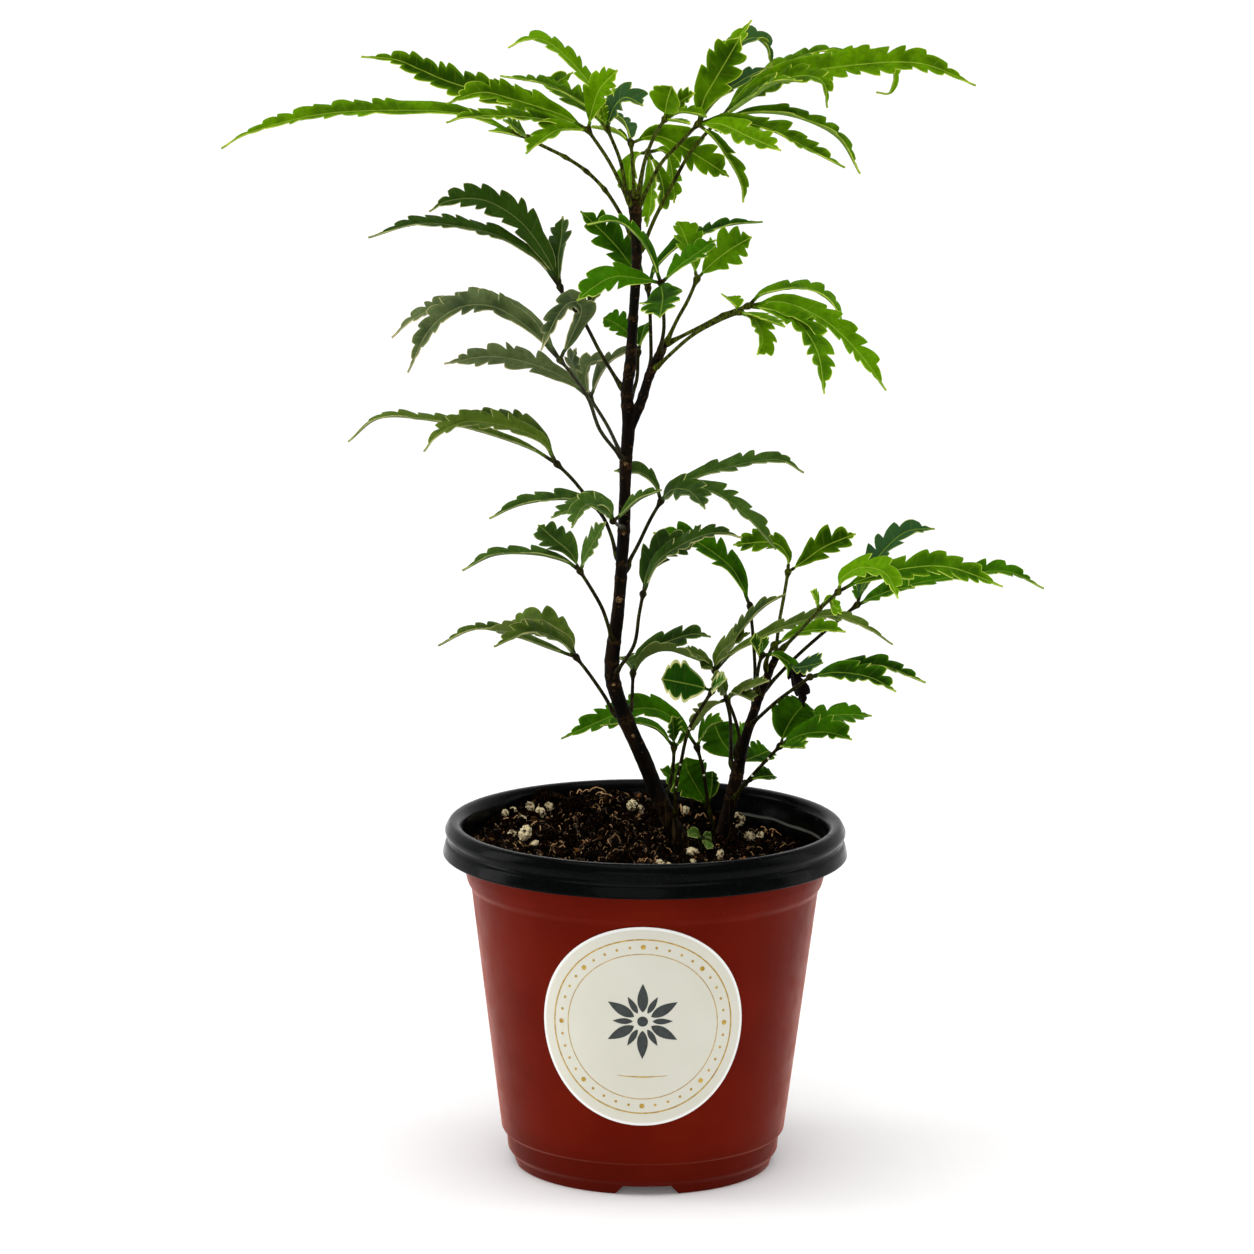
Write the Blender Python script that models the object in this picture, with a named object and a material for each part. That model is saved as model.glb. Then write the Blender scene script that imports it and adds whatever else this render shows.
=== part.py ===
# A false aralia (Plerandra elegantissima) growing in its round nursery pot.
#
# The part stands on its foot, +Z up, with the origin at the centre of the foot on the ground.
# -Y is the front, where the round sticker is. Sizes are real ones, written in millimetres and
# turned to metres by MM.
#
# The stems and leaves follow one real plant. Each point of them is a picture point, across and
# down in a 1254 x 1254 photograph, with the depth behind the pot's centre line. sight() turns
# the two into a place.

import math
from collections import namedtuple

import bmesh
import bpy
import numpy as np
from mathutils import Vector

MM = 0.001

# The view that the picture points belong to: eye point, pitch, roll, and focal length in picture points.
EYE = np.array([-4.9, -1227.0, 364.0])
PITCH = math.radians(10.58)
ROLL = math.radians(0.45)
FOCAL = 5095.0
PICTURE_CENTRE = 627.0

# Pot: one thermoformed shell with a rolled, skirted rim.
POT_SIDES = 32
WALL = 1.2
FOOT_RADIUS = 32.5
FOOT_RING_INSIDE = 28.0
FOOT_RECESS = 2.6
NOTCH_HEIGHT = 2.3
FLOOR_TOP = 4.2
STEP_BOTTOM = (34.2, 7.7)
STEP_TOP = (35.3, 10.8)
TAPER_TOP = (42.9, 70.0)
COLLAR_RADIUS = 44.5
COLLAR_BOTTOM = 74.2
SKIRT_RADIUS = 50.0
SKIRT_BOTTOM = 78.2
SKIRT_THICKNESS = 1.1
RIM_GROOVE = (49.0, 81.9)
RIM_ROLL = (49.6, 84.0)
RIM_INSIDE = 45.0
NOTCH_WIDTH = 15.9
NOTCH_COUNT = 4
NOTCH_DEPTH = 9.0
DRAIN_RADIUS = 3.2
DRAIN_CIRCLE = 22.0
DRAIN_LENGTH = 8.0
DRAIN_SIDES = 8
FOOT_EDGE = 0.4
FOOT_TOP = (33.9, 4.4)
SHOULDER = (43.8, 71.4)
COLLAR_FLARE = 0.5
RIM_UNDERSIDE = 83.9
SKIRT_TAPER = 0.3
GROOVE_START = 81.2
RIM_OUTER_EDGE = (48.3, 86.4)
RIM_INNER_EDGE = (46.3, 86.3)
RIM_INNER_SIDE = 84.9
FLOOR_EDGE = 1.2
LINING_COLLAR = 75.2
LINING_TAPER = 70.6
LINING_STEP = 11.3

# Sticker: round, on the front of the tapered wall.
STICKER_RADIUS = 25.5
STICKER_HEIGHT = 44.4
STICKER_THICKNESS = 0.5
STICKER_LIFT = 0.65
STICKER_AT_X = -0.4
STICKER_SIDES = 20
STICKER_RINGS = 3

# Potting soil.
SOIL_LEVEL = 78.0
SOIL_FALL_TO_RIGHT = 0.05
SOIL_RISE_TO_BACK = 0.012
SOIL_RINGS = 4
SOIL_SIDES = 24
LUMP_HEIGHT = 0.55
CLEAR = 0.3
WELD = 0.002
ROOT_DEPTH = 9.0
HOLE_ABOVE_SOIL = 6.0

# Stems. A stem is straight from its foot up to the first of its points this far above it.
STEM_SIDES = 7
MAIN_STEM_RINGS = 24
SECOND_STEM_RINGS = 10
BRANCH_SIDES = 6
BRANCH_RINGS = 8
STEM_FOOT_RISE = 0.6
STEM_STRAIGHT = 3.0

# Leaves. The depths of hubs and the leans of leaflets are opened by DEPTH_SPREAD about MIDDLE_DEPTH.
DEPTH_SPREAD = 1.6
MIDDLE_DEPTH = 5.0
BLADE_THICKNESS = 0.6
HUB_RADIUS = 1.15
STALK_BASE_RADIUS = 1.0
STALK_RADIUS = 0.62
STALK_TIP_RADIUS = 0.55
STALK_SIDES = 5
STALK_FOOT_LENGTH = 0.9
STALK_FOOT_RISE = 0.15
STALK_ROOT_DEPTH = 6.0
STALK_ABOVE_SOIL = 0.8
SEAT_ROOM = 0.1
ROOT_START = 0.5
NECK_LENGTH = 2.0
NECK_SHARES = (0.08, 0.25)
NECK_HALF_WIDTH = 0.42
TIP_HALF_WIDTH = 0.12
TOOTH_START = 0.25
TOOTH_RUN = 0.72
TEETH_END = 0.97
LENS_SHIFT = 0.8
LENS_FULLNESS = 0.65
HUB_SWELL_MOST = 0.25
HUB_NECK = 0.4
HUB_TIP = 0.6

# The exact Boolean leaves an open or a doubled edge where the leaflets of these leaves meet.
FAULTY_BY_EXACT = ("seedling", "second_leaf_1")
TOOTH_SPACING = 10.2
TOOTH_DEPTH = 0.30
TOOTH_SWEEP = 0.45
MOST_TEETH = 5
FEWEST_TEETH = 2

Stem = namedtuple("Stem", "name path branch")
Knot = namedtuple("Knot", "point depth radius")
Leaf = namedtuple("Leaf", "name age stem foot stalk hub depth blades")
Blade = namedtuple("Blade", "width face lean path start", defaults=(None,))

MAIN_STEM = Stem(
    "main_stem",
    (
        Knot((683, 848), 5.0, 2.5),
        Knot((673, 827), 5.0, 2.3),
        Knot((658, 795), 4.6, 2.2),
        Knot((644, 760), 4.2, 2.2),
        Knot((626, 720), 3.8, 2.2),
        Knot((613.5, 683), 3.4, 1.9),
        Knot((612, 660), 3.2, 1.95),
        Knot((617, 620), 2.8, 1.6),
        Knot((620, 590), 2.5, 1.5),
        Knot((622, 560), 2.2, 1.45),
        Knot((624, 527), 1.9, 1.55),
        Knot((625, 490), 1.6, 1.4),
        Knot((626, 460), 1.3, 1.5),
        Knot((628.5, 427), 1.0, 1.6),
        Knot((627, 392), 0.8, 1.45),
        Knot((630.5, 362), 0.6, 1.35),
        Knot((633, 320), 0.4, 1.2),
        Knot((636.5, 265), 0.2, 1.2),
        Knot((636, 225), 0.0, 1.3),
        Knot((635, 205), 0.0, 1.6),
        Knot((634.5, 193), 0.0, 1.3),
    ),
    (
        Knot((630, 428), 1.0, 1.3),
        Knot((641, 402), -0.5, 1.2),
        Knot((650, 374), -2.0, 1.15),
        Knot((661, 352), -3.0, 1.1),
        Knot((665, 343), -3.4, 0.8),
    ),
)
SECOND_STEM = Stem(
    "second_stem",
    (
        Knot((722, 838), 16.6, 1.9),
        Knot((731, 800), 16.2, 1.8),
        Knot((738, 770), 15.8, 1.75),
        Knot((742, 750), 15.4, 1.6),
        Knot((748, 730), 15.0, 1.5),
        Knot((754, 712), 14.4, 1.5),
        Knot((760, 695), 13.8, 1.45),
        Knot((768, 675), 13.0, 1.2),
        Knot((775, 660), 12.2, 1.0),
        Knot((785, 645), 11.4, 0.8),
    ),
    (),
)

# Ages: young leaves are yellow-green, mature ones green, old ones dark with a grey sheen.
YOUNG = "young"
MATURE = "mature"
OLD = "old"

# A stalk starts at its foot on a stem, or in the soil, and ends at the hub, where the leaflets
# radiate. Blade holds the leaflet's greatest width in mm, the turn in degrees that its upper face
# has to the front (negative shows the underside), how much deeper its tip lies than its root, and
# the points that its midrib passes. A leaflet that doesn't grow from the hub names its start.
LEAVES = (
    Leaf("crown_leaf_1", YOUNG, MAIN_STEM, (631, 243),
         ((620, 213), (605, 190), (586, 171), (565, 157), (541, 145)), (528, 138), 8, (
             Blade(7.5, 38, 6, ((465, 115), (400, 111), (320, 115), (250, 133), (221, 149))),
             Blade(4.0, 55, -10, ((512, 126), (503, 120))),
             Blade(4.5, 40, 11, ((506, 133), (489, 131))))),
    Leaf("crown_leaf_2", YOUNG, MAIN_STEM, (632, 200), ((610, 163),), (588, 130), -8, (
        Blade(8.5, 50, -4, ((560, 115), (510, 99), (480, 93), (447, 104))),
        Blade(7.0, 34, -13, ((530, 118), (470, 117), (446, 123))),
        Blade(9.0, 54, 10, ((535, 106), (457, 85), (420, 70), (395, 60), (361, 57))),
        Blade(8.5, 55, -3, ((594, 105), (601, 88), (618, 70))),
        Blade(7.5, 40, -12, ((560, 130), (540, 142), (526, 154))))),
    Leaf("crown_leaf_3", YOUNG, MAIN_STEM, (633, 196), ((620, 160),), (607, 128), 8, (
        Blade(9.0, 42, -8, ((615, 107), (626, 98), (643, 106))),
        Blade(5.0, 48, 6, ((612, 107), (614, 87))),
        Blade(3.5, 60, -4, ((603, 114), (600, 101))),
        Blade(6.0, 28, 10, ((590, 108), (548, 85), (500, 76))),
        Blade(7.5, 34, 6, ((598, 98), (578, 70), (550, 44), (528, 39), (508, 48))),
        Blade(8.0, 50, 16, ((588, 110), (568, 96), (556, 84), (573, 72))))),
    Leaf("crown_leaf_4", YOUNG, MAIN_STEM, (636, 199), ((633, 170),), (631, 143), 10, (
        Blade(5.0, 14, 8, ((620, 134), (607, 130), (590, 127))),
        Blade(6.5, 32, 10, ((627, 128), (618, 119), (608, 114))),
        Blade(10.0, 68, 3, ((655, 136), (680, 146), (705, 161), (729, 177))))),
    Leaf("crown_leaf_5", YOUNG, MAIN_STEM, (636, 192), ((645, 160), (655, 135)), (665, 119), -15, (
        Blade(8.5, 68, -4, ((667, 103), (672, 86))),
        Blade(5.5, 52, -4, ((680, 103), (695, 93))),
        Blade(6.0, 24, 1, ((682, 112), (707, 117))),
        Blade(3.0, 20, -6, ((678, 121), (690, 124))))),
    Leaf("crown_leaf_6", YOUNG, MAIN_STEM, (637, 218), ((643, 170),), (648, 152), 15, (
        Blade(6.5, 38, 2, ((664, 151), (671, 168), (674, 203))),
        Blade(7.0, 38, -5, ((657, 168), (663, 192), (658, 212))),
        Blade(7.0, 34, -9, ((652, 178), (651, 205), (647, 227))),
        Blade(8.0, 52, 5, ((636, 156), (630, 172), (631, 195))))),
    Leaf("crown_leaf_7", YOUNG, MAIN_STEM, (638, 209), ((660, 165), (680, 143)), (698, 124), -8, (
        Blade(7.5, 34, -6, ((722, 119), (770, 130), (800, 145), (845, 168))),
        Blade(8.5, 50, -14, ((722, 125), (748, 137), (781, 151))),
        Blade(6.0, 30, -3, ((714, 138), (728, 158), (741, 183), (743, 203))),
        Blade(10.5, 76, -2, ((704, 100), (714, 82), (727, 60), (741, 36))),
        Blade(7.0, 48, 9, ((712, 95), (733, 48), (752, 20))),
        Blade(8.0, 42, 16, ((708, 100), (727, 58), (750, 39), (766, 46), (772, 70))),
        Blade(7.0, 38, 6, ((716, 100), (742, 81), (770, 67))))),
    Leaf("crown_leaf_8", YOUNG, MAIN_STEM, (640, 255),
         ((655, 218), (671, 187), (690, 153), (710, 129)), (722, 117), 5, (
             Blade(8.5, 50, -6, ((745, 98), (775, 79), (850, 66), (920, 64), (976, 86))),
             Blade(7.0, 28, 14, ((750, 84), (790, 62), (822, 51), (856, 52))),
             Blade(6.0, 28, 8, ((752, 90), (800, 70), (862, 60), (892, 70), (890, 92), (876, 92))),
             Blade(8.0, 42, -14, ((752, 95), (795, 77), (822, 82), (827, 108))),
             Blade(6.0, 14, -18, ((748, 100), (775, 83), (802, 81))),
             Blade(7.0, 28, 8, ((760, 112), (800, 118), (838, 138), (860, 174))),
             Blade(4.0, 50, -10, ((722, 125), (721, 133))))),
    Leaf("branch_leaf_1", MATURE, MAIN_STEM, (650, 372), ((651, 350), (650, 312)), (648, 288), 12, (
        Blade(9.5, 66, 2, ((632, 267), (612, 242), (580, 211))),
        Blade(7.0, 24, 10, ((657, 266), (683, 243), (725, 226), (763, 222))))),
    Leaf("branch_leaf_2", MATURE, MAIN_STEM, (661, 352), ((664, 325),), (661, 283), -14, (
        Blade(6.0, 24, -2, ((648, 250), (630, 229), (612, 221), (587, 225))),
        Blade(8.5, 54, -5, ((640, 279), (615, 277), (596, 286), (577, 301))),
        Blade(11.0, 50, -16, ((663, 298), (660, 318))),
        Blade(8.0, 40, 6, ((685, 262), (700, 252), (716, 240))))),
    Leaf("branch_leaf_3", YOUNG, MAIN_STEM, (665, 346), ((677, 320), (688, 300)), (697, 279), 2, (
        Blade(9.5, 52, 4, ((691, 255), (683, 234), (677, 221))),
        Blade(10.5, 72, -4, ((712, 264), (730, 250), (752, 237))))),
    Leaf("branch_leaf_4", YOUNG, MAIN_STEM, (665, 344), ((700, 327), (723, 315)), (748, 306), -6, (
        Blade(7.0, 28, 12, ((765, 293), (805, 288), (832, 303), (843, 326))),
        Blade(8.5, 46, -4, ((775, 302), (800, 308), (830, 325), (860, 355), (886, 391))),
        Blade(8.5, 50, -14, ((775, 311), (797, 322), (817, 352), (824, 394))),
        Blade(6.0, 32, -8, ((780, 312), (805, 323), (827, 349))))),
    Leaf("branch_leaf_5", YOUNG, MAIN_STEM, (656, 366), ((690, 337), (718, 321)), (740, 312), -14, (
        Blade(8.0, 42, -8, ((755, 321), (762, 338), (757, 355))),
        Blade(6.0, 38, 5, ((734, 304), (727, 297))),
        Blade(5.0, 28, -12, ((760, 318), (785, 327))))),
    Leaf("right_leaf_1", MATURE, MAIN_STEM, (629, 403), ((637, 378),), (638, 352), 10, (
        Blade(8.5, 54, 2, ((632, 338), (619, 326), (603, 318))),
        Blade(6.5, 40, 4, ((642, 338), (646, 324))))),
    Leaf("left_leaf_1", OLD, MAIN_STEM, (627, 391), ((600, 352), (583, 320), (567, 302)), (560, 287), 8, (
        Blade(9.5, 56, -4, ((545, 255), (520, 222), (485, 201), (450, 201), (429, 212))),
        Blade(7.5, 30, -14, ((540, 262), (515, 245), (480, 231), (420, 224), (368, 238))),
        Blade(8.5, 44, 6, ((559, 258), (562, 237), (563, 216))),
        Blade(4.5, 40, 4, ((590, 303), (602, 288)), (584, 321)))),
    Leaf("left_leaf_2", OLD, MAIN_STEM, (626, 464), ((600, 430), (588, 398), (570, 372)), (560, 360), -10, (
        Blade(8.5, 50, -7, ((572, 330), (574, 308), (560, 318), (541, 351))),
        Blade(8.5, 42, -5, ((530, 330), (495, 308), (460, 308), (430, 330), (408, 373))),
        Blade(7.5, 36, 9, ((535, 325), (490, 303), (450, 305), (415, 318), (392, 338))))),
    Leaf("left_leaf_3", OLD, MAIN_STEM, (626, 455), ((607, 425),), (590, 398), 12, (
        Blade(8.5, 52, 2, ((565, 379), (530, 364), (490, 357), (444, 364))),
        Blade(7.0, 42, 8, ((579, 378), (572, 362), (576, 348))),
        Blade(6.0, 28, 3, ((602, 372), (616, 357), (638, 348))),
        Blade(6.0, 38, -5, ((586, 378), (591, 364), (606, 359))))),
    Leaf("left_leaf_4", OLD, MAIN_STEM, (622, 562),
         ((611, 535), (603, 517), (590, 501), (573, 480)), (557, 464), 8, (
             Blade(8.0, 38, -8, ((540, 440), (510, 428), (470, 422), (440, 433), (424, 452))),
             Blade(7.0, 28, 9, ((536, 430), (500, 417), (445, 418))),
             Blade(6.5, 22, 0, ((530, 448), (480, 431), (430, 420), (380, 418), (348, 442))))),
    Leaf("left_leaf_5", OLD, MAIN_STEM, (624, 529), ((618, 525),), (613, 521), -11, (
        Blade(6.5, 24, -2, ((600, 504), (560, 499), (520, 505), (489, 519))),
        Blade(7.0, 34, -9, ((608, 506), (590, 503), (551, 518))),
        Blade(7.0, 44, -14, ((602, 508), (585, 506), (572, 528))),
        Blade(5.0, 20, 1, ((622, 514), (640, 499), (662, 490))))),
    Leaf("left_leaf_6", OLD, MAIN_STEM, (615, 640), ((608, 625), (602, 608), (592, 590)), (580, 571), -6, (
        Blade(6.0, 20, 4, ((565, 561), (535, 554), (495, 555), (462, 571))),
        Blade(8.5, 62, 6, ((570, 553), (555, 540), (538, 525))),
        Blade(6.5, 36, -6, ((588, 553), (597, 538), (606, 522))))),
    Leaf("left_leaf_7", OLD, MAIN_STEM, (624, 717), ((605, 697), (590, 675)), (576, 657), 6, (
        Blade(6.5, 20, 6, ((550, 648), (510, 634), (475, 629), (438, 646))),
        Blade(7.5, -34, -4, ((568, 643), (545, 634), (485, 629))),
        Blade(7.0, 30, -12, ((560, 641), (530, 632), (494, 647))),
        Blade(8.5, 48, 14, ((564, 637), (540, 621), (505, 627))))),
    Leaf("right_leaf_2", OLD, MAIN_STEM, (623, 576), ((630, 560), (638, 545), (650, 520)), (661, 501), 6, (
        Blade(6.5, 32, 2, ((655, 485), (640, 473), (614, 471))),
        Blade(7.5, 30, 4, ((675, 487), (716, 471), (775, 460), (804, 473))),
        Blade(8.5, 46, -14, ((673, 490), (690, 492), (705, 509))),
        Blade(7.5, 30, -9, ((680, 488), (715, 493), (750, 520), (776, 550))))),
    Leaf("right_leaf_3", MATURE, MAIN_STEM, (614, 674), ((634, 645), (639, 615)), (643, 594), -10, (
        Blade(9.5, 54, 2, ((649, 568), (665, 551), (695, 543))),
        Blade(7.5, 28, -8, ((658, 562), (688, 542), (718, 533), (742, 538))))),
    Leaf("right_leaf_4", OLD, MAIN_STEM, (626, 720), ((632, 700),), (633, 673), 8, (
        Blade(9.0, 42, -1, ((640, 656), (655, 647), (690, 635), (711, 637))),
        Blade(7.0, -30, -9, ((645, 657), (668, 650), (701, 661))),
        Blade(6.5, 50, 7, ((629, 664), (623, 657))))),
    Leaf("base_leaf_1", MATURE, MAIN_STEM, (661, 802), ((669, 788), (673, 768)), (674, 747), 10, (
        Blade(6.0, 16, 1, ((657, 729), (630, 722), (600, 726))),
        Blade(5.5, 44, -4, ((673, 732), (672, 716))),
        Blade(3.5, 30, -3, ((681, 741), (688, 734))))),
    Leaf("base_leaf_2", MATURE, MAIN_STEM, (667, 815), ((676, 788), (681, 762), (690, 727)), (705, 694), -2, (
        Blade(10.0, 72, -4, ((697, 687), (681, 681), (662, 682))),
        Blade(7.0, 44, -10, ((714, 687), (727, 679))))),
    Leaf("soil_leaf_1", MATURE, None, (714, 831), ((709, 808), (703, 770)), (697, 747), 18, (
        Blade(9.0, 46, -2, ((685, 731), (660, 711), (625, 712), (561, 739))),
        Blade(6.5, 28, -5, ((701, 738), (709, 727), (723, 721))))),
    Leaf("soil_leaf_2", MATURE, None, (711, 824), ((710, 815),), (707, 806), 22, (
        Blade(11.0, 62, -1, ((698, 790), (687, 770), (686, 757))),
        Blade(8.5, 40, 1, ((712, 790), (713, 771))),
        Blade(8.5, 42, -4, ((688, 791), (673, 779), (660, 769))))),
    Leaf("seedling", YOUNG, None, (701, 848), ((701, 844),), (702, 840), 6, (
        Blade(3.5, 55, -3, ((696, 834), (688, 836))),
        Blade(3.5, 55, -4, ((706, 842), (707, 849))),
        Blade(3.0, 50, 1, ((707, 837), (711, 838))))),
    Leaf("second_leaf_1", OLD, SECOND_STEM, (738, 772),
         ((727, 747), (729, 716), (722, 690)), (715, 671), 13, (
             Blade(6.5, 30, 0, ((703, 658), (682, 652))),
             Blade(5.5, 40, -1, ((709, 667), (701, 668))),
             Blade(8.0, 44, -7, ((718, 657), (731, 644), (750, 633))),
             Blade(6.0, 30, -12, ((726, 655), (745, 626), (765, 606), (786, 594))),
             Blade(8.5, 34, -1, ((730, 655), (752, 642), (785, 627), (830, 616), (865, 627), (893, 645))))),
    Leaf("second_leaf_2", OLD, SECOND_STEM, (741, 757), ((738, 735), (733, 716)), (727, 699), 9, (
        Blade(7.5, -30, -4, ((712, 706), (700, 719), (690, 731))),
        Blade(7.0, 32, -9, ((740, 690), (755, 685), (769, 681))),
        Blade(6.0, 28, -8, ((737, 694), (753, 701))),
        Blade(7.0, 40, -4, ((722, 688), (711, 679))))),
    Leaf("second_leaf_3", MATURE, SECOND_STEM, (756, 706), ((755, 670), (753, 636)), (750, 606), 18, (
        Blade(9.5, 44, 6, ((741, 585), (727, 564), (690, 539), (653, 533))),)),
    Leaf("second_leaf_4", YOUNG, SECOND_STEM, (775, 660), ((779, 624), (784, 596)), (788, 572), 24, (
        Blade(9.5, 54, 2, ((802, 563), (825, 547), (856, 534))),
        Blade(8.5, 44, 2, ((787, 556), (772, 543), (733, 545))))),
    Leaf("second_leaf_5", MATURE, SECOND_STEM, (760, 695), ((757, 680), (759, 665)), (762, 655), 5, (
        Blade(6.0, 40, -5, ((757, 648), (750, 641))),
        Blade(4.5, 45, -5, ((762, 647), (761, 638))),
        Blade(8.5, 44, -2, ((776, 655), (788, 663), (796, 683), (804, 707))),
        Blade(7.5, 40, -6, ((797, 668), (823, 663)), (787, 662)))),
    Leaf("second_leaf_6", MATURE, SECOND_STEM, (752, 722), ((776, 702), (796, 687)), (810, 677), -10, (
        Blade(8.5, 36, -2, ((840, 669), (880, 666), (926, 683))),
        Blade(9.0, 48, -12, ((838, 673), (870, 678), (896, 692))))),
    Leaf("second_leaf_7", YOUNG, SECOND_STEM, (783, 647), ((798, 633), (820, 609)), (838, 592), -10, (
        Blade(10.0, 48, -6, ((844, 577), (862, 568), (885, 574), (898, 599))),
        Blade(10.0, 50, 2, ((860, 581), (905, 569), (950, 568), (1003, 587))),
        Blade(4.0, 40, -4, ((817, 602), (811, 591)), (819, 609)),
        Blade(4.5, 45, 3, ((828, 600), (834, 607), (842, 611)), (819, 609)))),
    Leaf("second_leaf_8", MATURE, SECOND_STEM, (762, 690), ((796, 657), (823, 633)), (857, 605), 20, (
        Blade(7.5, 34, 2, ((895, 589), (950, 578), (1005, 572), (1044, 589))),
        Blade(9.0, 48, 9, ((866, 578), (884, 551), (907, 532), (935, 529))),
        Blade(5.0, 44, 7, ((861, 592), (866, 580))),
        Blade(7.0, 38, -6, ((875, 597), (895, 590), (915, 588))))),
    Leaf("second_leaf_9", MATURE, SECOND_STEM, (770, 671), ((768, 656),), (774, 645), 8, (
        Blade(7.0, 32, -1, ((797, 634), (820, 630), (846, 632))),)),
    Leaf("second_leaf_10", MATURE, SECOND_STEM, (732, 797), ((744, 785), (760, 767)), (780, 746), 2, (
        Blade(11.0, 68, 4, ((786, 730), (795, 715), (806, 703))),
        Blade(9.0, 42, -9, ((803, 735), (828, 733), (852, 740))),
        Blade(9.0, 42, 8, ((803, 729), (833, 716), (872, 716))),
        Blade(6.5, 20, -10, ((792, 747), (805, 748))))),
    Leaf("second_leaf_11", MATURE, SECOND_STEM, (737, 776), ((737, 770),), (738, 763), 21, (
        Blade(11.0, 72, 4, ((729, 751), (720, 738), (714, 723))),
        Blade(8.5, 50, 6, ((750, 759), (769, 751))),
        Blade(5.0, 44, 8, ((742, 748), (744, 733), (740, 722))))),
    Leaf("second_leaf_12", MATURE, SECOND_STEM, (735, 790), ((740, 787),), (745, 783), 20, (
        Blade(6.5, 34, 3, ((757, 778), (774, 776))),)),
)

MATERIALS = {
    "pot_plastic": ((0.27, 0.035, 0.014), 0.42),
    "potting_soil": ((0.012, 0.006, 0.003), 0.95),
    "sticker_paper": ((0.78, 0.77, 0.72), 0.55),
    "stem_bark": ((0.012, 0.006, 0.003), 0.6),
    "young_leaf": ((0.085, 0.30, 0.012), 0.4),
    "mature_leaf": ((0.035, 0.15, 0.010), 0.4),
    "old_leaf": ((0.020, 0.070, 0.018), 0.42),
}


# Helpers

def material(name):
    """Principled material of this name, made once."""
    found = bpy.data.materials.get(name)
    if found:
        return found
    colour, roughness = MATERIALS[name]
    made = bpy.data.materials.new(name)
    made.use_nodes = True
    shader = made.node_tree.nodes["Principled BSDF"]
    shader.inputs["Base Color"].default_value = (*colour, 1.0)
    shader.inputs["Roughness"].default_value = roughness
    shader.inputs["Metallic"].default_value = 0.0
    made.diffuse_color = (*colour, 1.0)
    return made


def new_object(name, points, faces, look):
    """Mesh object from points in millimetres and faces, linked to the scene."""
    mesh = bpy.data.meshes.new(name)
    mesh.from_pydata([tuple(p * MM) for p in np.asarray(points, float)], [], faces)
    mesh.update()
    mesh.materials.append(material(look))
    made = bpy.data.objects.new(name, mesh)
    bpy.context.scene.collection.objects.link(made)
    return made


def combine(base, others, operation, solver="EXACT"):
    """Joins the others to the base, or cuts them from it, with one Boolean that is then applied."""
    group = bpy.data.collections.new("operands")
    bpy.context.scene.collection.children.link(group)
    for other in others:
        bpy.context.scene.collection.objects.unlink(other)
        group.objects.link(other)
    modifier = base.modifiers.new("combine", "BOOLEAN")
    modifier.operation = operation
    modifier.operand_type = "COLLECTION"
    modifier.collection = group
    modifier.solver = solver
    bpy.context.view_layer.update()
    graph = bpy.context.evaluated_depsgraph_get()
    result = bpy.data.meshes.new_from_object(base.evaluated_get(graph))
    base.modifiers.clear()
    base.data = result
    result.name = base.name
    for other in others:
        bpy.data.objects.remove(other)
    bpy.data.collections.remove(group)
    drop_scraps(result)


def drop_scraps(mesh):
    """Keeps the largest of the mesh's separate surfaces: a scrap is dropped and a sealed hollow filled."""
    shape = bmesh.new()
    shape.from_mesh(mesh)
    bmesh.ops.remove_doubles(shape, verts=shape.verts[:], dist=WELD * MM)
    left = set(shape.faces)
    islands = []
    while left:
        island, fringe = [], [left.pop()]
        while fringe:
            face = fringe.pop()
            island.append(face)
            near = {other for edge in face.edges if len(edge.link_faces) == 2 for other in edge.link_faces}
            fringe.extend(near & left)
            left -= near
        islands.append(island)
    islands.sort(key=lambda island: sum(face.calc_area() for face in island))
    for island in islands[:-1]:
        own = set(island)
        if all(len(own & set(edge.link_faces)) == 2 for face in island for edge in face.edges):
            bmesh.ops.delete(shape, geom=island, context="FACES")
    shape.to_mesh(mesh)
    shape.free()


def finish(obj, sharp_degrees=35.0):
    """Triangles throughout, smooth shading with crisp edges past the angle."""
    shape = bmesh.new()
    shape.from_mesh(obj.data)
    bmesh.ops.triangulate(shape, faces=shape.faces[:])
    shape.to_mesh(obj.data)
    shape.free()
    obj.data.shade_smooth()
    obj.data.set_sharp_from_angle(angle=math.radians(sharp_degrees))


def unit(vectors):
    length = np.linalg.norm(vectors, axis=-1, keepdims=True)
    return vectors / np.maximum(length, 1e-9)


# Places from picture points

FORWARD = np.array([0.0, math.cos(PITCH), -math.sin(PITCH)])
RIGHT = np.array([math.cos(ROLL), math.sin(ROLL) * math.sin(PITCH), math.sin(ROLL) * math.cos(PITCH)])
UP = np.cross(RIGHT, FORWARD)
TO_EYE = np.array([0.0, -math.cos(PITCH), math.sin(PITCH)])


def ray(point):
    across, down = point
    return FORWARD * FOCAL + RIGHT * (across - PICTURE_CENTRE) - UP * (down - PICTURE_CENTRE)


def sight(point, depth):
    """Place that the picture point shows at this depth behind the pot's centre line."""
    direction = ray(point)
    return EYE + direction * (depth - EYE[1]) / direction[1]


def spread(depth):
    """Depth of a hub, with the leaves opened to the front and the back of the stems."""
    return MIDDLE_DEPTH + DEPTH_SPREAD * (depth - MIDDLE_DEPTH)


def soil_height(x, y):
    """Height of the soil: it falls to the right, and has low lumps."""
    lumps = np.sin(0.31 * x + 1.0) * np.cos(0.27 * y) + 0.6 * np.sin(0.53 * y - 0.4 * x)
    return SOIL_LEVEL - SOIL_FALL_TO_RIGHT * x + SOIL_RISE_TO_BACK * y + LUMP_HEIGHT * lumps


def on_soil(point):
    """Place on the soil that the picture point shows."""
    direction = ray(point)
    place = EYE + direction * (SOIL_LEVEL - EYE[2]) / direction[2]
    place[2] = soil_height(place[0], place[1])
    return place


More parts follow.
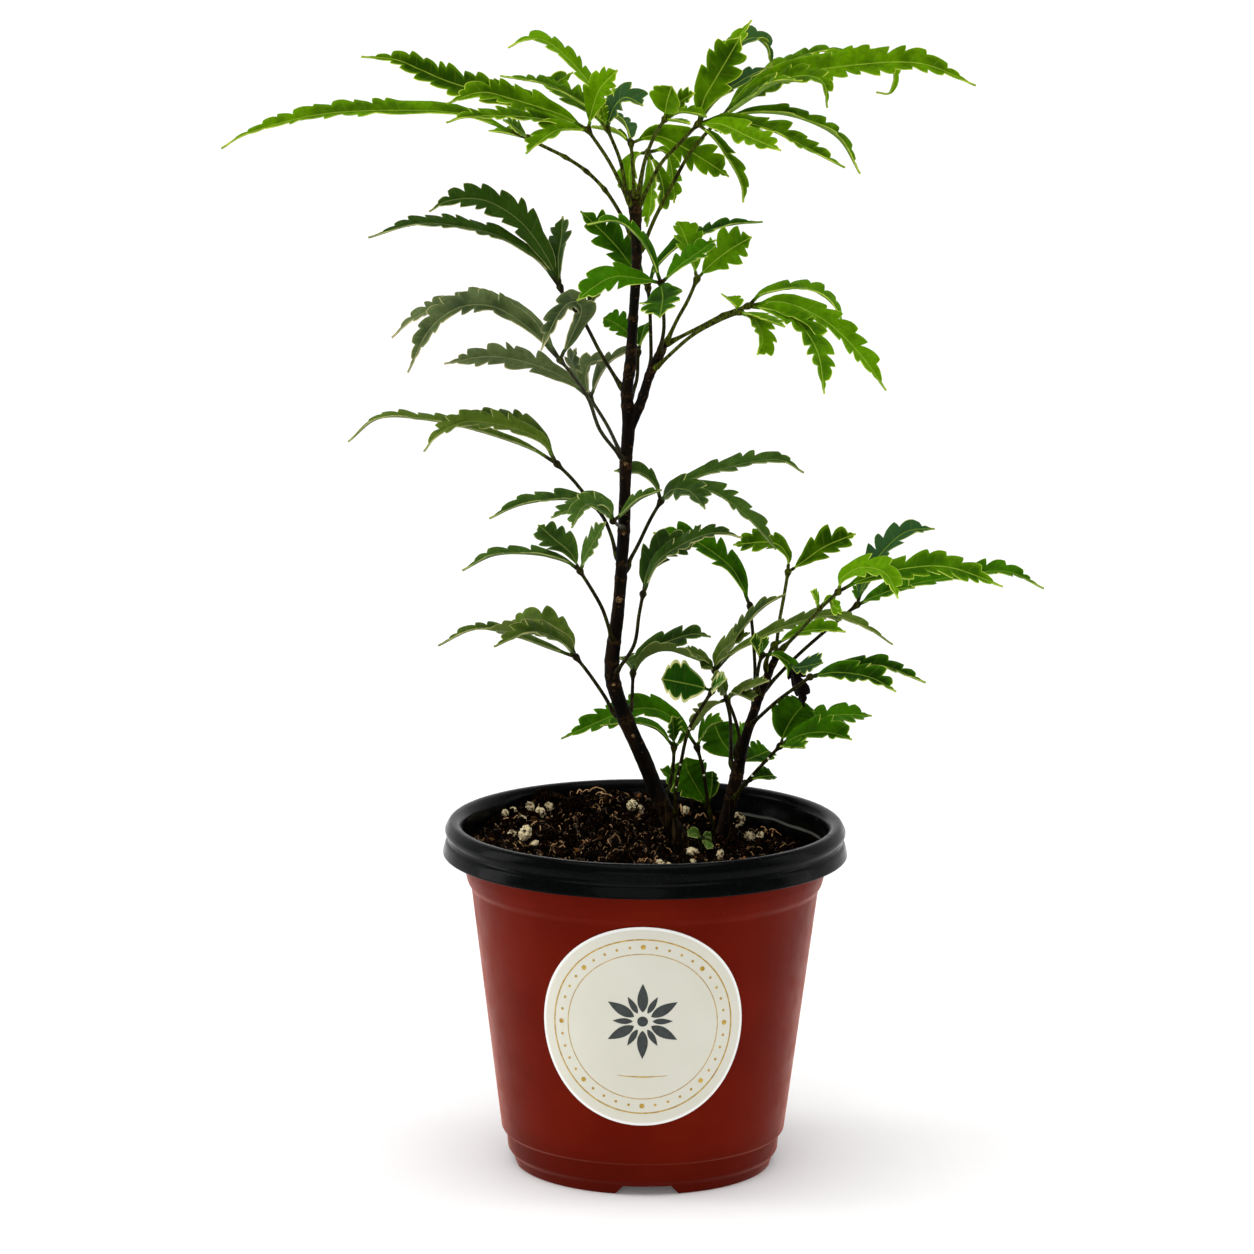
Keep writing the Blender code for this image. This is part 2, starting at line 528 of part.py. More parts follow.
def smooth_line(points, shares):
    """Places on a smooth curve through the points, at these shares of its length."""
    points = np.asarray(points, float)
    ends = np.vstack([2 * points[0] - points[1], points, 2 * points[-1] - points[-2]])
    t = np.linspace(0.0, 1.0, 12, endpoint=False)[:, None]
    spans = []
    for a, b, c, d in zip(ends[:-3], ends[1:-2], ends[2:-1], ends[3:]):
        spans.append(0.5 * (2 * b + (c - a) * t + (2 * a - 5 * b + 4 * c - d) * t**2
                            + (3 * b - a - 3 * c + d) * t**3))
    dense = np.vstack([*spans, points[-1:]])
    steps = np.linalg.norm(np.diff(dense, axis=0), axis=1)
    along = np.concatenate([[0.0], np.cumsum(steps)])
    wanted = np.asarray(shares) * along[-1]
    return np.stack([np.interp(wanted, along, dense[:, k]) for k in range(3)], axis=1), along[-1]


# Round tubes, for stems and stalks

def tube(path, radii, sides):
    """Points and triangles of a closed tube along the path."""
    path = np.asarray(path, float)
    tangents = unit(np.gradient(path, axis=0))
    side = unit(np.cross(tangents[0], [0.3, 1.0, 0.2]))
    angles = np.arange(sides) * 2 * math.pi / sides
    points = []
    for place, tangent, radius in zip(path, tangents, radii):
        side = unit(side - tangent * side.dot(tangent))
        other = np.cross(tangent, side)
        ring = np.cos(angles)[:, None] * side + np.sin(angles)[:, None] * other
        points.extend(place + radius * ring)
    faces = []
    for ring in range(len(path) - 1):
        for k in range(sides):
            a = ring * sides + k
            b = ring * sides + (k + 1) % sides
            faces += [(a, b, b + sides), (a, b + sides, a + sides)]
    last = (len(path) - 1) * sides
    faces += [(0, k + 1, k) for k in range(1, sides - 1)]
    faces += [(last, last + k, last + k + 1) for k in range(1, sides - 1)]
    return np.array(points), faces


# Pot, soil and sticker

def wall_radius(height):
    """Outside radius of the tapered wall."""
    low, high = STEP_TOP, TAPER_TOP
    return low[0] + (height - low[1]) * (high[0] - low[0]) / (high[1] - low[1])


def turned(name, profile, sides, look):
    """Solid of revolution: the profile runs from the axis round the outside back to the axis."""
    angles = np.arange(sides) * 2 * math.pi / sides
    points = [(0.0, 0.0, profile[0][1])]
    for radius, height in profile[1:-1]:
        points.extend((radius * math.cos(a), radius * math.sin(a), height) for a in angles)
    points.append((0.0, 0.0, profile[-1][1]))
    rings = len(profile) - 2
    top = len(points) - 1
    faces = []
    for k in range(sides):
        after = (k + 1) % sides
        faces.append((0, 1 + after, 1 + k))
        for ring in range(rings - 1):
            a = 1 + ring * sides
            faces.append((a + k, a + after, a + sides + after, a + sides + k))
        a = 1 + (rings - 1) * sides
        faces.append((a + k, a + after, top))
    return new_object(name, points, faces, look)


def block(name, centre, size):
    shape = bmesh.new()
    bmesh.ops.create_cube(shape, size=1.0)
    bmesh.ops.scale(shape, vec=Vector(size) * MM, verts=shape.verts)
    bmesh.ops.translate(shape, vec=Vector(centre) * MM, verts=shape.verts)
    return from_bmesh(name, shape)


def rod(name, centre, radius, length, sides):
    shape = bmesh.new()
    bmesh.ops.create_cone(shape, cap_ends=True, segments=sides, radius1=radius * MM,
                          radius2=radius * MM, depth=length * MM)
    bmesh.ops.translate(shape, vec=Vector(centre) * MM, verts=shape.verts)
    return from_bmesh(name, shape)


def from_bmesh(name, shape):
    mesh = bpy.data.meshes.new(name)
    shape.to_mesh(mesh)
    shape.free()
    made = bpy.data.objects.new(name, mesh)
    bpy.context.scene.collection.objects.link(made)
    return made


def inner_wall():
    """Inside profile of the pot from the rim down to the floor, as (radius, height)."""
    return [
        (RIM_INSIDE, RIM_INNER_SIDE),
        (COLLAR_RADIUS - WALL, LINING_COLLAR),
        (TAPER_TOP[0] - WALL, LINING_TAPER),
        (STEP_TOP[0] - WALL, LINING_STEP),
        (STEP_BOTTOM[0] - WALL, STEP_BOTTOM[1]),
        (STEP_BOTTOM[0] - WALL - FLOOR_EDGE, FLOOR_TOP),
    ]


def make_pot():
    skirt_inside = SKIRT_RADIUS - SKIRT_THICKNESS
    profile = [
        (0.0, FOOT_RECESS),
        (FOOT_RING_INSIDE, FOOT_RECESS),
        (FOOT_RING_INSIDE + FOOT_EDGE, 0.0),
        (FOOT_RADIUS, 0.0),
        FOOT_TOP,
        STEP_BOTTOM,
        STEP_TOP,
        TAPER_TOP,
        SHOULDER,
        (COLLAR_RADIUS, COLLAR_BOTTOM),
        (COLLAR_RADIUS + COLLAR_FLARE, SKIRT_BOTTOM),
        (RIM_INSIDE + WALL, RIM_UNDERSIDE),
        (skirt_inside - SKIRT_TAPER, RIM_UNDERSIDE),
        (skirt_inside, SKIRT_BOTTOM),
        (SKIRT_RADIUS, SKIRT_BOTTOM),
        (SKIRT_RADIUS, GROOVE_START),
        RIM_GROOVE,
        RIM_ROLL,
        RIM_OUTER_EDGE,
        RIM_INNER_EDGE,
        *inner_wall(),
        (0.0, FLOOR_TOP),
    ]
    pot = turned("pot", profile, POT_SIDES, "pot_plastic")
    ring_middle = (FOOT_RING_INSIDE + FOOT_RADIUS) / 2
    cutters = []
    for k in range(NOTCH_COUNT):
        angle = k * 2 * math.pi / NOTCH_COUNT
        along_x = abs(math.cos(angle)) > 0.5
        size = (NOTCH_DEPTH, NOTCH_WIDTH) if along_x else (NOTCH_WIDTH, NOTCH_DEPTH)
        centre = (ring_middle * math.cos(angle), ring_middle * math.sin(angle), 0.0)
        cutters.append(block(f"notch_{k}", centre, (*size, 2 * NOTCH_HEIGHT)))
        drain = (DRAIN_CIRCLE * math.cos(angle), DRAIN_CIRCLE * math.sin(angle), FLOOR_TOP)
        cutters.append(rod(f"drain_{k}", drain, DRAIN_RADIUS, DRAIN_LENGTH, DRAIN_SIDES))
    combine(pot, cutters, "DIFFERENCE")
    finish(pot)


def make_soil(holes):
    """Soil that fills the pot, with plain holes where stems stand in it."""
    wall = inner_wall()[::-1]
    heights = [p[1] for p in wall]
    radii = [p[0] for p in wall]
    flat_share = math.cos(math.pi / POT_SIDES)

    def fill_radius(height):
        return float(np.interp(height, heights, radii)) * flat_share - CLEAR

    angles = np.arange(SOIL_SIDES) * 2 * math.pi / SOIL_SIDES
    bottom = FLOOR_TOP + CLEAR
    points = [(0.0, 0.0, float(soil_height(0.0, 0.0)))]
    for ring in range(1, SOIL_RINGS + 1):
        for a in angles:
            outward = np.array([math.cos(a), math.sin(a)])
            edge = fill_radius(float(soil_height(*(outward * fill_radius(SOIL_LEVEL)))))
            x, y = outward * edge * ring / SOIL_RINGS
            points.append((x, y, float(soil_height(x, y))))
    side_heights = [LINING_COLLAR, LINING_TAPER, LINING_STEP, STEP_BOTTOM[1], bottom]
    for height in side_heights:
        points.extend((fill_radius(height) * math.cos(a), fill_radius(height) * math.sin(a), height)
                      for a in angles)
    points.append((0.0, 0.0, bottom))
    rings = SOIL_RINGS + len(side_heights)
    last = len(points) - 1
    faces = []
    for k in range(SOIL_SIDES):
        after = (k + 1) % SOIL_SIDES
        faces.append((0, 1 + k, 1 + after))
        for ring in range(rings - 1):
            a = 1 + ring * SOIL_SIDES
            faces += [(a + k, a + SOIL_SIDES + k, a + SOIL_SIDES + after),
                      (a + k, a + SOIL_SIDES + after, a + after)]
        a = 1 + (rings - 1) * SOIL_SIDES
        faces.append((a + after, a + k, last))
    soil = new_object("soil", points, faces, "potting_soil")
    combine(soil, holes, "DIFFERENCE")
    finish(soil)


def make_sticker():
    """Round sticker that follows the tapered wall."""
    around, rings = STICKER_SIDES, STICKER_RINGS
    faces = []
    sheets = []
    for lift in (STICKER_LIFT, STICKER_LIFT + STICKER_THICKNESS):
        sheet = []
        for ring in range(rings + 1):
            for k in range(around if ring else 1):
                angle = k * 2 * math.pi / around
                reach = STICKER_RADIUS * ring / rings
                height = STICKER_HEIGHT + reach * math.sin(angle)
                radius = wall_radius(height) + lift
                turn = (STICKER_AT_X + reach * math.cos(angle)) / wall_radius(height)
                sheet.append((radius * math.sin(turn), -radius * math.cos(turn), height))
        sheets.append(sheet)
    count = len(sheets[0])
    for k in range(around):
        after = (k + 1) % around
        front = [(0, 1 + k, 1 + after)]
        for ring in range(rings - 1):
            a = 1 + ring * around
            front += [(a + k, a + around + k, a + around + after), (a + k, a + around + after, a + after)]
        faces += [tuple(count + i for i in f) for f in front]
        faces += [f[::-1] for f in front]
        a, b = count - around + k, count - around + after
        faces += [(a, b, b + count), (a, b + count, a + count)]
    sticker = new_object("sticker", sheets[0] + sheets[1], faces, "sticker_paper")
    finish(sticker)


# Stems

def stem_line(knots, count):
    """Places and radii along a stem."""
    places = [sight(k.point, k.depth) for k in knots]
    shares = np.linspace(0.0, 1.0, count)
    line, _ = smooth_line(places, shares)
    steps = np.concatenate([[0.0], np.cumsum(np.linalg.norm(np.diff(places, axis=0), axis=1))])
    radii = np.interp(shares, steps / steps[-1], [k.radius for k in knots])
    return line, radii


def make_stem(stem, count):
    """Stem with its buried end, and its side branch sunk into it. Returns the hole it stands in."""
    line, radii = stem_line(stem.path, count)
    base = on_soil(stem.path[0].point)
    base[2] += STEM_FOOT_RISE
    above = line[:, 2] > base[2] + STEM_STRAIGHT
    line = np.vstack([base - [0, 0, ROOT_DEPTH], base, line[above]])
    radii = np.concatenate([[radii[0], radii[0]], radii[above]])
    points, faces = tube(line, radii, STEM_SIDES)
    made = new_object(stem.name, points, faces, "stem_bark")
    if stem.branch:
        line, branch_radii = stem_line(stem.branch, BRANCH_RINGS)
        points, faces = tube(line, branch_radii, BRANCH_SIDES)
        combine(made, [new_object("side_branch", points, faces, "stem_bark")], "UNION")
    finish(made, 60.0)
    return soil_hole(base, radii[0], STEM_SIDES)


def soil_hole(place, radius, sides):
    """Cutter for a plain upright hole round a stem or stalk that stands in the soil."""
    room = (radius + CLEAR) / math.cos(math.pi / sides)
    length = ROOT_DEPTH + CLEAR + 2 * HOLE_ABOVE_SOIL
    centre = (place[0], place[1], place[2] + 2 * HOLE_ABOVE_SOIL - length / 2)
    return rod("hole", centre, room, length, 2 * sides)


# Leaves

def stalk_path(leaf):
    """Places along the stalk, from the stem's surface or from below the soil up to the hub."""
    hub = sight(leaf.hub, spread(leaf.depth))
    if leaf.stem is None:
        foot = on_soil(leaf.foot)
        start = [foot - [0, 0, STALK_ROOT_DEPTH], foot + [0, 0, STALK_ABOVE_SOIL]]
    else:
        lines = [stem_line(leaf.stem.path, 60)]
        if leaf.stem.branch:
            lines.append(stem_line(leaf.stem.branch, 30))
        line = np.vstack([l for l, _ in lines])
        radii = np.concatenate([r for _, r in lines])
        offsets = [np.linalg.norm(p - sight(leaf.foot, p[1])) for p in line]
        nearest = int(np.argmin(offsets))
        axis, radius = line[nearest], radii[nearest]
        ahead = sight(leaf.stalk[0], axis[1] + 0.35 * (spread(leaf.depth) - axis[1])) - axis
        along = unit(line[min(nearest + 1, len(line) - 1)] - line[nearest - 1])
        out = unit(ahead - along * ahead.dot(along))
        seat = radius + CLEAR + SEAT_ROOM
        start = [axis + out * seat, axis + out * (seat + STALK_FOOT_LENGTH) + along * STALK_FOOT_RISE]
        foot = start[-1]
    flat = np.array([leaf.foot, *leaf.stalk, leaf.hub], float)
    run = np.concatenate([[0.0], np.cumsum(np.linalg.norm(np.diff(flat, axis=0), axis=1))])
    shares = run[1:-1] / run[-1]
    middle = [sight(p, foot[1] + s * (spread(leaf.depth) - foot[1])) for p, s in zip(leaf.stalk, shares)]
    return start, middle, hub


def blade_rows(length, neck, teeth, rng):
    """Shares of the length and half widths, as shares of the greatest, for each row of a toothed leaflet."""
    shares = [ROOT_START / length, neck]
    halves = [0.0, 0.0]
    gap = (TEETH_END - neck) / (teeth + 0.4)
    for k in range(teeth):
        start = neck + gap * (k + TOOTH_START)
        tip = start + gap * TOOTH_RUN
        for share, cut in ((start, 1 - TOOTH_DEPTH * (0.8 + 0.4 * rng.random())), (tip, 1.0)):
            s = (share - neck) / (1 - neck)
            bulge = math.sin(math.pi * s**LENS_SHIFT * TEETH_END) ** LENS_FULLNESS
            shares.append(share)
            halves.append(bulge * (cut if k else 0.5 * (1 + cut)))
    shares.append(1.0)
    halves.append(0.0)
    return np.array(shares), np.array(halves)


def blade(name, start, depth, spec, look, rng):
    """One leaflet: a toothed strip of even thickness, bent along its midrib and turned to its face."""
    flat = np.array([start, *spec.path], float)
    run = np.concatenate([[0.0], np.cumsum(np.linalg.norm(np.diff(flat, axis=0), axis=1))])
    run /= run[-1]
    places = [sight(p, depth + DEPTH_SPREAD * spec.lean * s) for p, s in zip(flat, run)]
    _, length = smooth_line(places, [0.0, 1.0])
    teeth = int(np.clip(round(length / TOOTH_SPACING), FEWEST_TEETH, MOST_TEETH))
    neck = min(NECK_SHARES[1], max(NECK_LENGTH / length, NECK_SHARES[0]))
    shares, halves = blade_rows(length, neck, teeth, rng)
    line, _ = smooth_line(places, shares)
    tangents = unit(np.gradient(line, axis=0))
    facing = unit(TO_EYE - tangents * (tangents @ TO_EYE)[:, None])
    heads_left = flat[-1, 0] < flat[0, 0]
    upper = np.cross(tangents, facing) if heads_left else np.cross(facing, tangents)
    turn = math.radians(spec.face)
    normal = unit(math.sin(turn) * facing + math.cos(turn) * upper)
    side = np.cross(normal, tangents)
    half = np.maximum(halves * spec.width / 2, NECK_HALF_WIDTH)
    half[-1] = TIP_HALF_WIDTH
    sweep = tangents * (np.where(halves > 0, half, 0.0) * TOOTH_SWEEP)[:, None]
    sweep[-1] = 0.0
    left = line + side * half[:, None] + sweep
    right = line - side * half[:, None] + sweep
    lift = normal * BLADE_THICKNESS / 2
    points = np.stack([left + lift, right + lift, right - lift, left - lift], axis=1).reshape(-1, 3)
    faces = []
    for row in range(len(line) - 1):
        a = 4 * row
        b = a + 4
        faces += [(a, a + 1, b + 1), (a, b + 1, b)]
        faces += [(a + 3, b + 2, a + 2), (a + 3, b + 3, b + 2)]
        faces += [(a, b, b + 3), (a, b + 3, a + 3)]
        faces += [(a + 1, a + 2, b + 2), (a + 1, b + 2, b + 1)]
    end = 4 * (len(line) - 1)
    faces += [(0, 3, 2), (0, 2, 1), (end, end + 1, end + 2), (end, end + 2, end + 3)]
    return new_object(name, points, faces, look)


def make_leaf(leaf, rng):
    """Stalk, hub and leaflets of one leaf, fused. Returns the hole of a stalk that stands in the soil."""
    look = f"{leaf.age}_leaf"
    start, middle, hub = stalk_path(leaf)
    whole = [*start, *middle, hub]
    _, length = smooth_line([start[-1], *middle, hub], [0.0, 1.0])
    swell = min(HUB_SWELL_MOST, HUB_RADIUS / length)
    bends = np.linspace(0.0, 1 - 2 * swell, 2 + len(middle))[1:]
    shares = [0.0, *bends, 1 - HUB_NECK * swell]
    line, _ = smooth_line([start[-1], *middle, hub], shares)
    onward = unit(line[-1] - line[-2])
    line = np.vstack([start[0], line, hub + onward * HUB_RADIUS])
    radii = np.full(len(line), STALK_RADIUS)
    radii[:2] = STALK_BASE_RADIUS if leaf.stem else STALK_RADIUS
    radii[-3:] = STALK_TIP_RADIUS, HUB_RADIUS, HUB_RADIUS * HUB_TIP
    points, faces = tube(line, radii, STALK_SIDES)
    made = new_object(leaf.name, points, faces, look)
    pieces = []
    for number, spec in enumerate(leaf.blades):
        if spec.start is None:
            root, depth = leaf.hub, spread(leaf.depth)
        else:
            near = min(whole, key=lambda p: np.linalg.norm(p - sight(spec.start, p[1])))
            root, depth = spec.start, near[1]
        pieces.append(blade(f"leaflet_{number}", root, depth, spec, look, rng))
    combine(made, pieces, "UNION", "MANIFOLD" if leaf.name in FAULTY_BY_EXACT else "EXACT")
    finish(made, 50.0)
    if leaf.stem is None:
        return soil_hole(start[1], STALK_RADIUS, STALK_SIDES)
    return None


def clear_scene():
    for old in list(bpy.data.objects):
        bpy.data.objects.remove(old)


def main():
    clear_scene()
    rng = np.random.default_rng(7)
    holes = [make_stem(MAIN_STEM, MAIN_STEM_RINGS), make_stem(SECOND_STEM, SECOND_STEM_RINGS)]
    for leaf in LEAVES:
        hole = make_leaf(leaf, rng)
        if hole:
            holes.append(hole)
    make_pot()
    make_soil(holes)
    make_sticker()


main()
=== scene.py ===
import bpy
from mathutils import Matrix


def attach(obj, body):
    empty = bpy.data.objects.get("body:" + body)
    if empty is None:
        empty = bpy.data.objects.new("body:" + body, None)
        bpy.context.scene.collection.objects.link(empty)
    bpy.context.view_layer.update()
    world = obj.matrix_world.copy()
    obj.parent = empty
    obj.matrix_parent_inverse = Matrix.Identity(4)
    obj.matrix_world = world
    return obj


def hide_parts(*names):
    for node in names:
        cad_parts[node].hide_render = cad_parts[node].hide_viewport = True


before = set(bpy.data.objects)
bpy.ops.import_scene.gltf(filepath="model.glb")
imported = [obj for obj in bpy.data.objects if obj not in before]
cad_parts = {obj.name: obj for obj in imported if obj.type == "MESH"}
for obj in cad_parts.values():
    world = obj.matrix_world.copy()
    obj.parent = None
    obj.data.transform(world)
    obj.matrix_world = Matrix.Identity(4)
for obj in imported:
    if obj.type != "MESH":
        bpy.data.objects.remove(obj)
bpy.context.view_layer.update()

# The looks of a false aralia in its nursery pot.
#
# Sizes are real ones in millimetres, and MM turns them to metres. The stems and leaves are placed as
# in the CAD part: each point is a picture point, across and down in a 1254 x 1254 photograph, with
# the depth behind the pot's centre line. Every new surface is a grid of rows whose columns run round
# it and close, with a cap at each end.

import math
from collections import namedtuple

import bpy
import numpy as np
from mathutils import Matrix

MM = 0.001

# View: eye point, pitch, roll, and focal length in picture points.
EYE = np.array([-4.9, -1227.0, 364.0])
PITCH = math.radians(10.58)
ROLL = math.radians(0.45)
FOCAL = 5095.0
PICTURE_SIZE = 1254.0
PICTURE_CENTRE = 627.0
SENSOR_WIDTH = 36.0

# Pot: a brick-red outer sheet and a black lining with the rim, formed together.
POT_SIDES = 144
SHEET = 0.6
WALL = 1.2
FOOT_RADIUS = 31.9
FOOT_RING_INSIDE = 28.0
FOOT_RECESS = 2.6
NOTCH_HEIGHT = 2.3
NOTCH_WIDTH = 11.6
NOTCH_REACH = 9.0
NOTCH_FLARE = 2.0
NOTCH_TURN = 0.035
FLOOR_TOP = 4.2
FOOT_LEDGE = (32.6, 2.5)
FOOT_TOP = (33.6, 3.7)
STEP_BOTTOM = (33.9, 8.0)
STEP_TOP = (35.15, 8.8)
TAPER_TOP = (42.9, 70.0)
COLLAR = (44.5, 74.2)
SKIRT_RADIUS = 50.0
SKIRT_BOTTOM = 78.2
SKIRT_THICKNESS = 1.1
SKIRT_FLARE = 0.7
RIM_GROOVE = (48.5, 81.9)
RIM_ROLL = (49.6, 84.0)
RIM_TOP = 86.5
RIM_INSIDE = 45.0
DRAIN_RADIUS = 3.2
DRAIN_CIRCLE = 22.0
DRAIN_HEIGHTS = (0.5, 3.0, 8.0)
SHEET_CORNER = 0.45
LINING_CORNER = 0.8
POLE = 2.0

# Sticker, on the front of the tapered wall, and its print. A gold ring has its radius and its half
# width, a dot is small or, at every fifth place, large, and a petal has its end and its width.
STICKER_RADIUS = 25.5
STICKER_HEIGHT = 44.4
STICKER_AT_X = -0.4
PAPER_UNDER = 0.02
PAPER_TOP = 0.20
INK_UNDER = PAPER_TOP - 0.02
INK_TOP = 0.25
GOLD_RINGS = ((22.3, 0.16), (18.6, 0.09))
DOTS = 40
DOT_CIRCLE = 20.4
DOT_RADII = (0.34, 0.62)
LINE_REACH = 6.0
LINE_DOWN = 12.9
LINE_HALF_WIDTH = 0.18
FLOWER_MIDDLE = (0.0, 1.4)
FLOWER_BUTTON = 1.3
PETALS = ((9.6, 2.6), (7.2, 1.5))
PETAL_START = 2.4

# Potting soil. It falls to the right, and is heaped against the lining at the back. Its roughness
# comes in three sizes, each with its height.
SOIL_LEVEL = 78.0
SOIL_FALL_TO_RIGHT = 0.05
SOIL_RISE_TO_BACK = 0.012
LUMP_HEIGHT = 0.55
ROUGHNESS = ((11.0, 0.5), (4.2, 0.5), (1.9, 0.26))
MOUND = (-14.0, 42.0)
MOUND_HEIGHT = 5.5
MOUND_REACH = (34.0, 17.0)
SOIL_RADIUS = 43.8
ROOT_DEPTH = 9.0
SMALLEST_REACH = 0.5
CRUMBS = 2600
SCATTERED_CLODS = 34
HUSK_CHIPS = 110

# What lies on the soil, by picture points: clods, perlite lumps with their radii, a husk curled to a
# ring, and long fibres with their ends and the height that they rise.
SOIL_CLODS = ((541, 800), (575, 806), (520, 795), (600, 826), (655, 812), (560, 858), (700, 806))
PERLITE = (
    ((497, 815), 1.5), ((504, 810), 1.1), ((530, 812), 1.2), ((540, 818), 1.7), ((549, 814), 1.3),
    ((522, 822), 1.3), ((512, 838), 1.5), ((525, 842), 2.0), ((534, 845), 1.3), ((632, 811), 2.2),
    ((641, 813), 1.5), ((685, 815), 1.4), ((686, 824), 1.0), ((750, 841), 1.6), ((760, 838), 1.3),
    ((692, 855), 1.6), ((693, 863), 1.1), ((720, 858), 1.5), ((660, 866), 1.3), ((668, 869), 1.0),
)
CURLED_HUSK = (737, 826)
LONG_FIBRES = (
    ((568, 790), (590, 793), 0.7), ((584, 791), (608, 796), 0.9), ((596, 797), (618, 802), 0.8),
    ((610, 792), (634, 796), 0.8), ((680, 813), (684, 824), 1.0), ((695, 820), (708, 818), 0.8),
    ((772, 838), (797, 828), 0.9), ((768, 826), (784, 836), 0.6), ((500, 826), (526, 818), 0.9),
)

# Stems. They swell at scars by a share of their radius, turn green over a length above the old wood,
# and peel in strips up to a height above the soil. A stalk starts inside the stem, at a share of its
# radius. Its first free point lies off the stem's surface and along the stem by the first number of
# each pair, to which the second is added where the stalk leaves along the stem.
STEM_SIDES = 26
SCAR_SWELLING = 0.09
SCAR_LENGTH = 0.6
GREENING_LENGTH = 60.0
PEELING_HEIGHT = 16.0
STALK_SEAT = 0.6
STALK_OFF_STEM = (1.3, -0.8)
STALK_ALONG_STEM = (0.15, 1.5)

# Leaves. The depths of hubs and the leans of leaflets are opened by DEPTH_SPREAD about MIDDLE_DEPTH.
# A lobe has stations at these shares of its length, and a leaflet's section has points at these
# shares of its half width, over the top from left to right and back under it.
DEPTH_SPREAD = 1.6
MIDDLE_DEPTH = 5.0
HUB_RADIUS = 0.95
HUB_END = np.array([0.5, 0.95, 1.15])
STALK_BASE_RADIUS = 0.9
STALK_BASE_LENGTH = 2.6
STALK_RADIUS = 0.48
STALK_TIP_RADIUS = 0.44
STALK_SIDES = 10
KNOT_SWELLING = 0.22
KNOT_LENGTH = 0.8
ROOT_START = 0.5
TOOTH_LENGTH = 4.9
TOOTH_SWEEP = 0.5
QUILT = 0.05
HALF_THICKNESS = 0.17
EDGE_WIDTH = 0.24
NECK_HALF_WIDTH = 0.34
LOBE_STATIONS = np.array([0.0, 0.07, 0.2, 0.4, 0.62, 0.83, 0.93])
TOP_SECTION = np.array([1.0, 0.9, 0.68, 0.4, 0.14, 0.0, -0.14, -0.4, -0.68, -0.9, -1.0])
SECTION = np.concatenate([TOP_SECTION, TOP_SECTION[-2:0:-1]])
LEAF_ROUGHNESS = 0.42

# Marks that a stalk gives the leaf's finish. It is far from any margin or rib.
FAR = 9.0
STALK_MARKS = {"margin": FAR, "rib": FAR, "vein": 0.0, "under": 0.0, "stalk": 1.0, "tone": 0.5,
               "dead": 0.0, "grey": 0.0}

Stem = namedtuple("Stem", "name path branch")
Knot = namedtuple("Knot", "point depth radius")
Leaf = namedtuple("Leaf", "name age stem foot stalk hub depth blades")
Blade = namedtuple("Blade", "width face lean path start teeth", defaults=(None, None))

MAIN_STEM = Stem(
    "main_stem",
    (
        Knot((683, 848), 5.0, 2.4),
        Knot((673, 827), 5.0, 2.2),
        Knot((658, 795), 4.6, 2.05),
        Knot((644, 760), 4.2, 1.95),
        Knot((626, 720), 3.8, 1.9),
        Knot((613.5, 683), 3.4, 1.8),
        Knot((612, 660), 3.2, 1.8),
        Knot((617, 620), 2.8, 1.6),
        Knot((620, 590), 2.5, 1.5),
        Knot((622, 560), 2.2, 1.45),
        Knot((624, 527), 1.9, 1.55),
        Knot((625, 490), 1.6, 1.4),
        Knot((626, 460), 1.3, 1.5),
        Knot((628.5, 427), 1.0, 1.6),
        Knot((627, 392), 0.8, 1.45),
        Knot((630.5, 362), 0.6, 1.35),
        Knot((633, 320), 0.4, 1.2),
        Knot((636.5, 265), 0.2, 1.2),
        Knot((636, 225), 0.0, 1.3),
        Knot((635, 205), 0.0, 1.6),
        Knot((634.5, 193), 0.0, 1.3),
    ),
    (
        Knot((630, 428), 1.0, 1.3),
        Knot((641, 402), -0.5, 1.2),
        Knot((650, 374), -2.0, 1.15),
        Knot((661, 352), -3.0, 1.1),
        Knot((665, 343), -3.4, 0.8),
    ),
)
SECOND_STEM = Stem(
    "second_stem",
    (
        Knot((722, 838), 16.6, 1.85),
        Knot((731, 800), 16.2, 1.75),
        Knot((738, 770), 15.8, 1.6),
        Knot((742, 750), 15.4, 1.4),
        Knot((748, 730), 15.0, 1.25),
        Knot((754, 712), 14.4, 1.15),
        Knot((760, 695), 13.8, 1.1),
        Knot((768, 675), 13.0, 1.0),
        Knot((775, 660), 12.2, 0.9),
        Knot((785, 645), 11.4, 0.75),
    ),
    (),
)

# Ages: young leaves are yellow-green, mature ones green, old ones dark with a grey sheen.
YOUNG = "young"
MATURE = "mature"
OLD = "old"

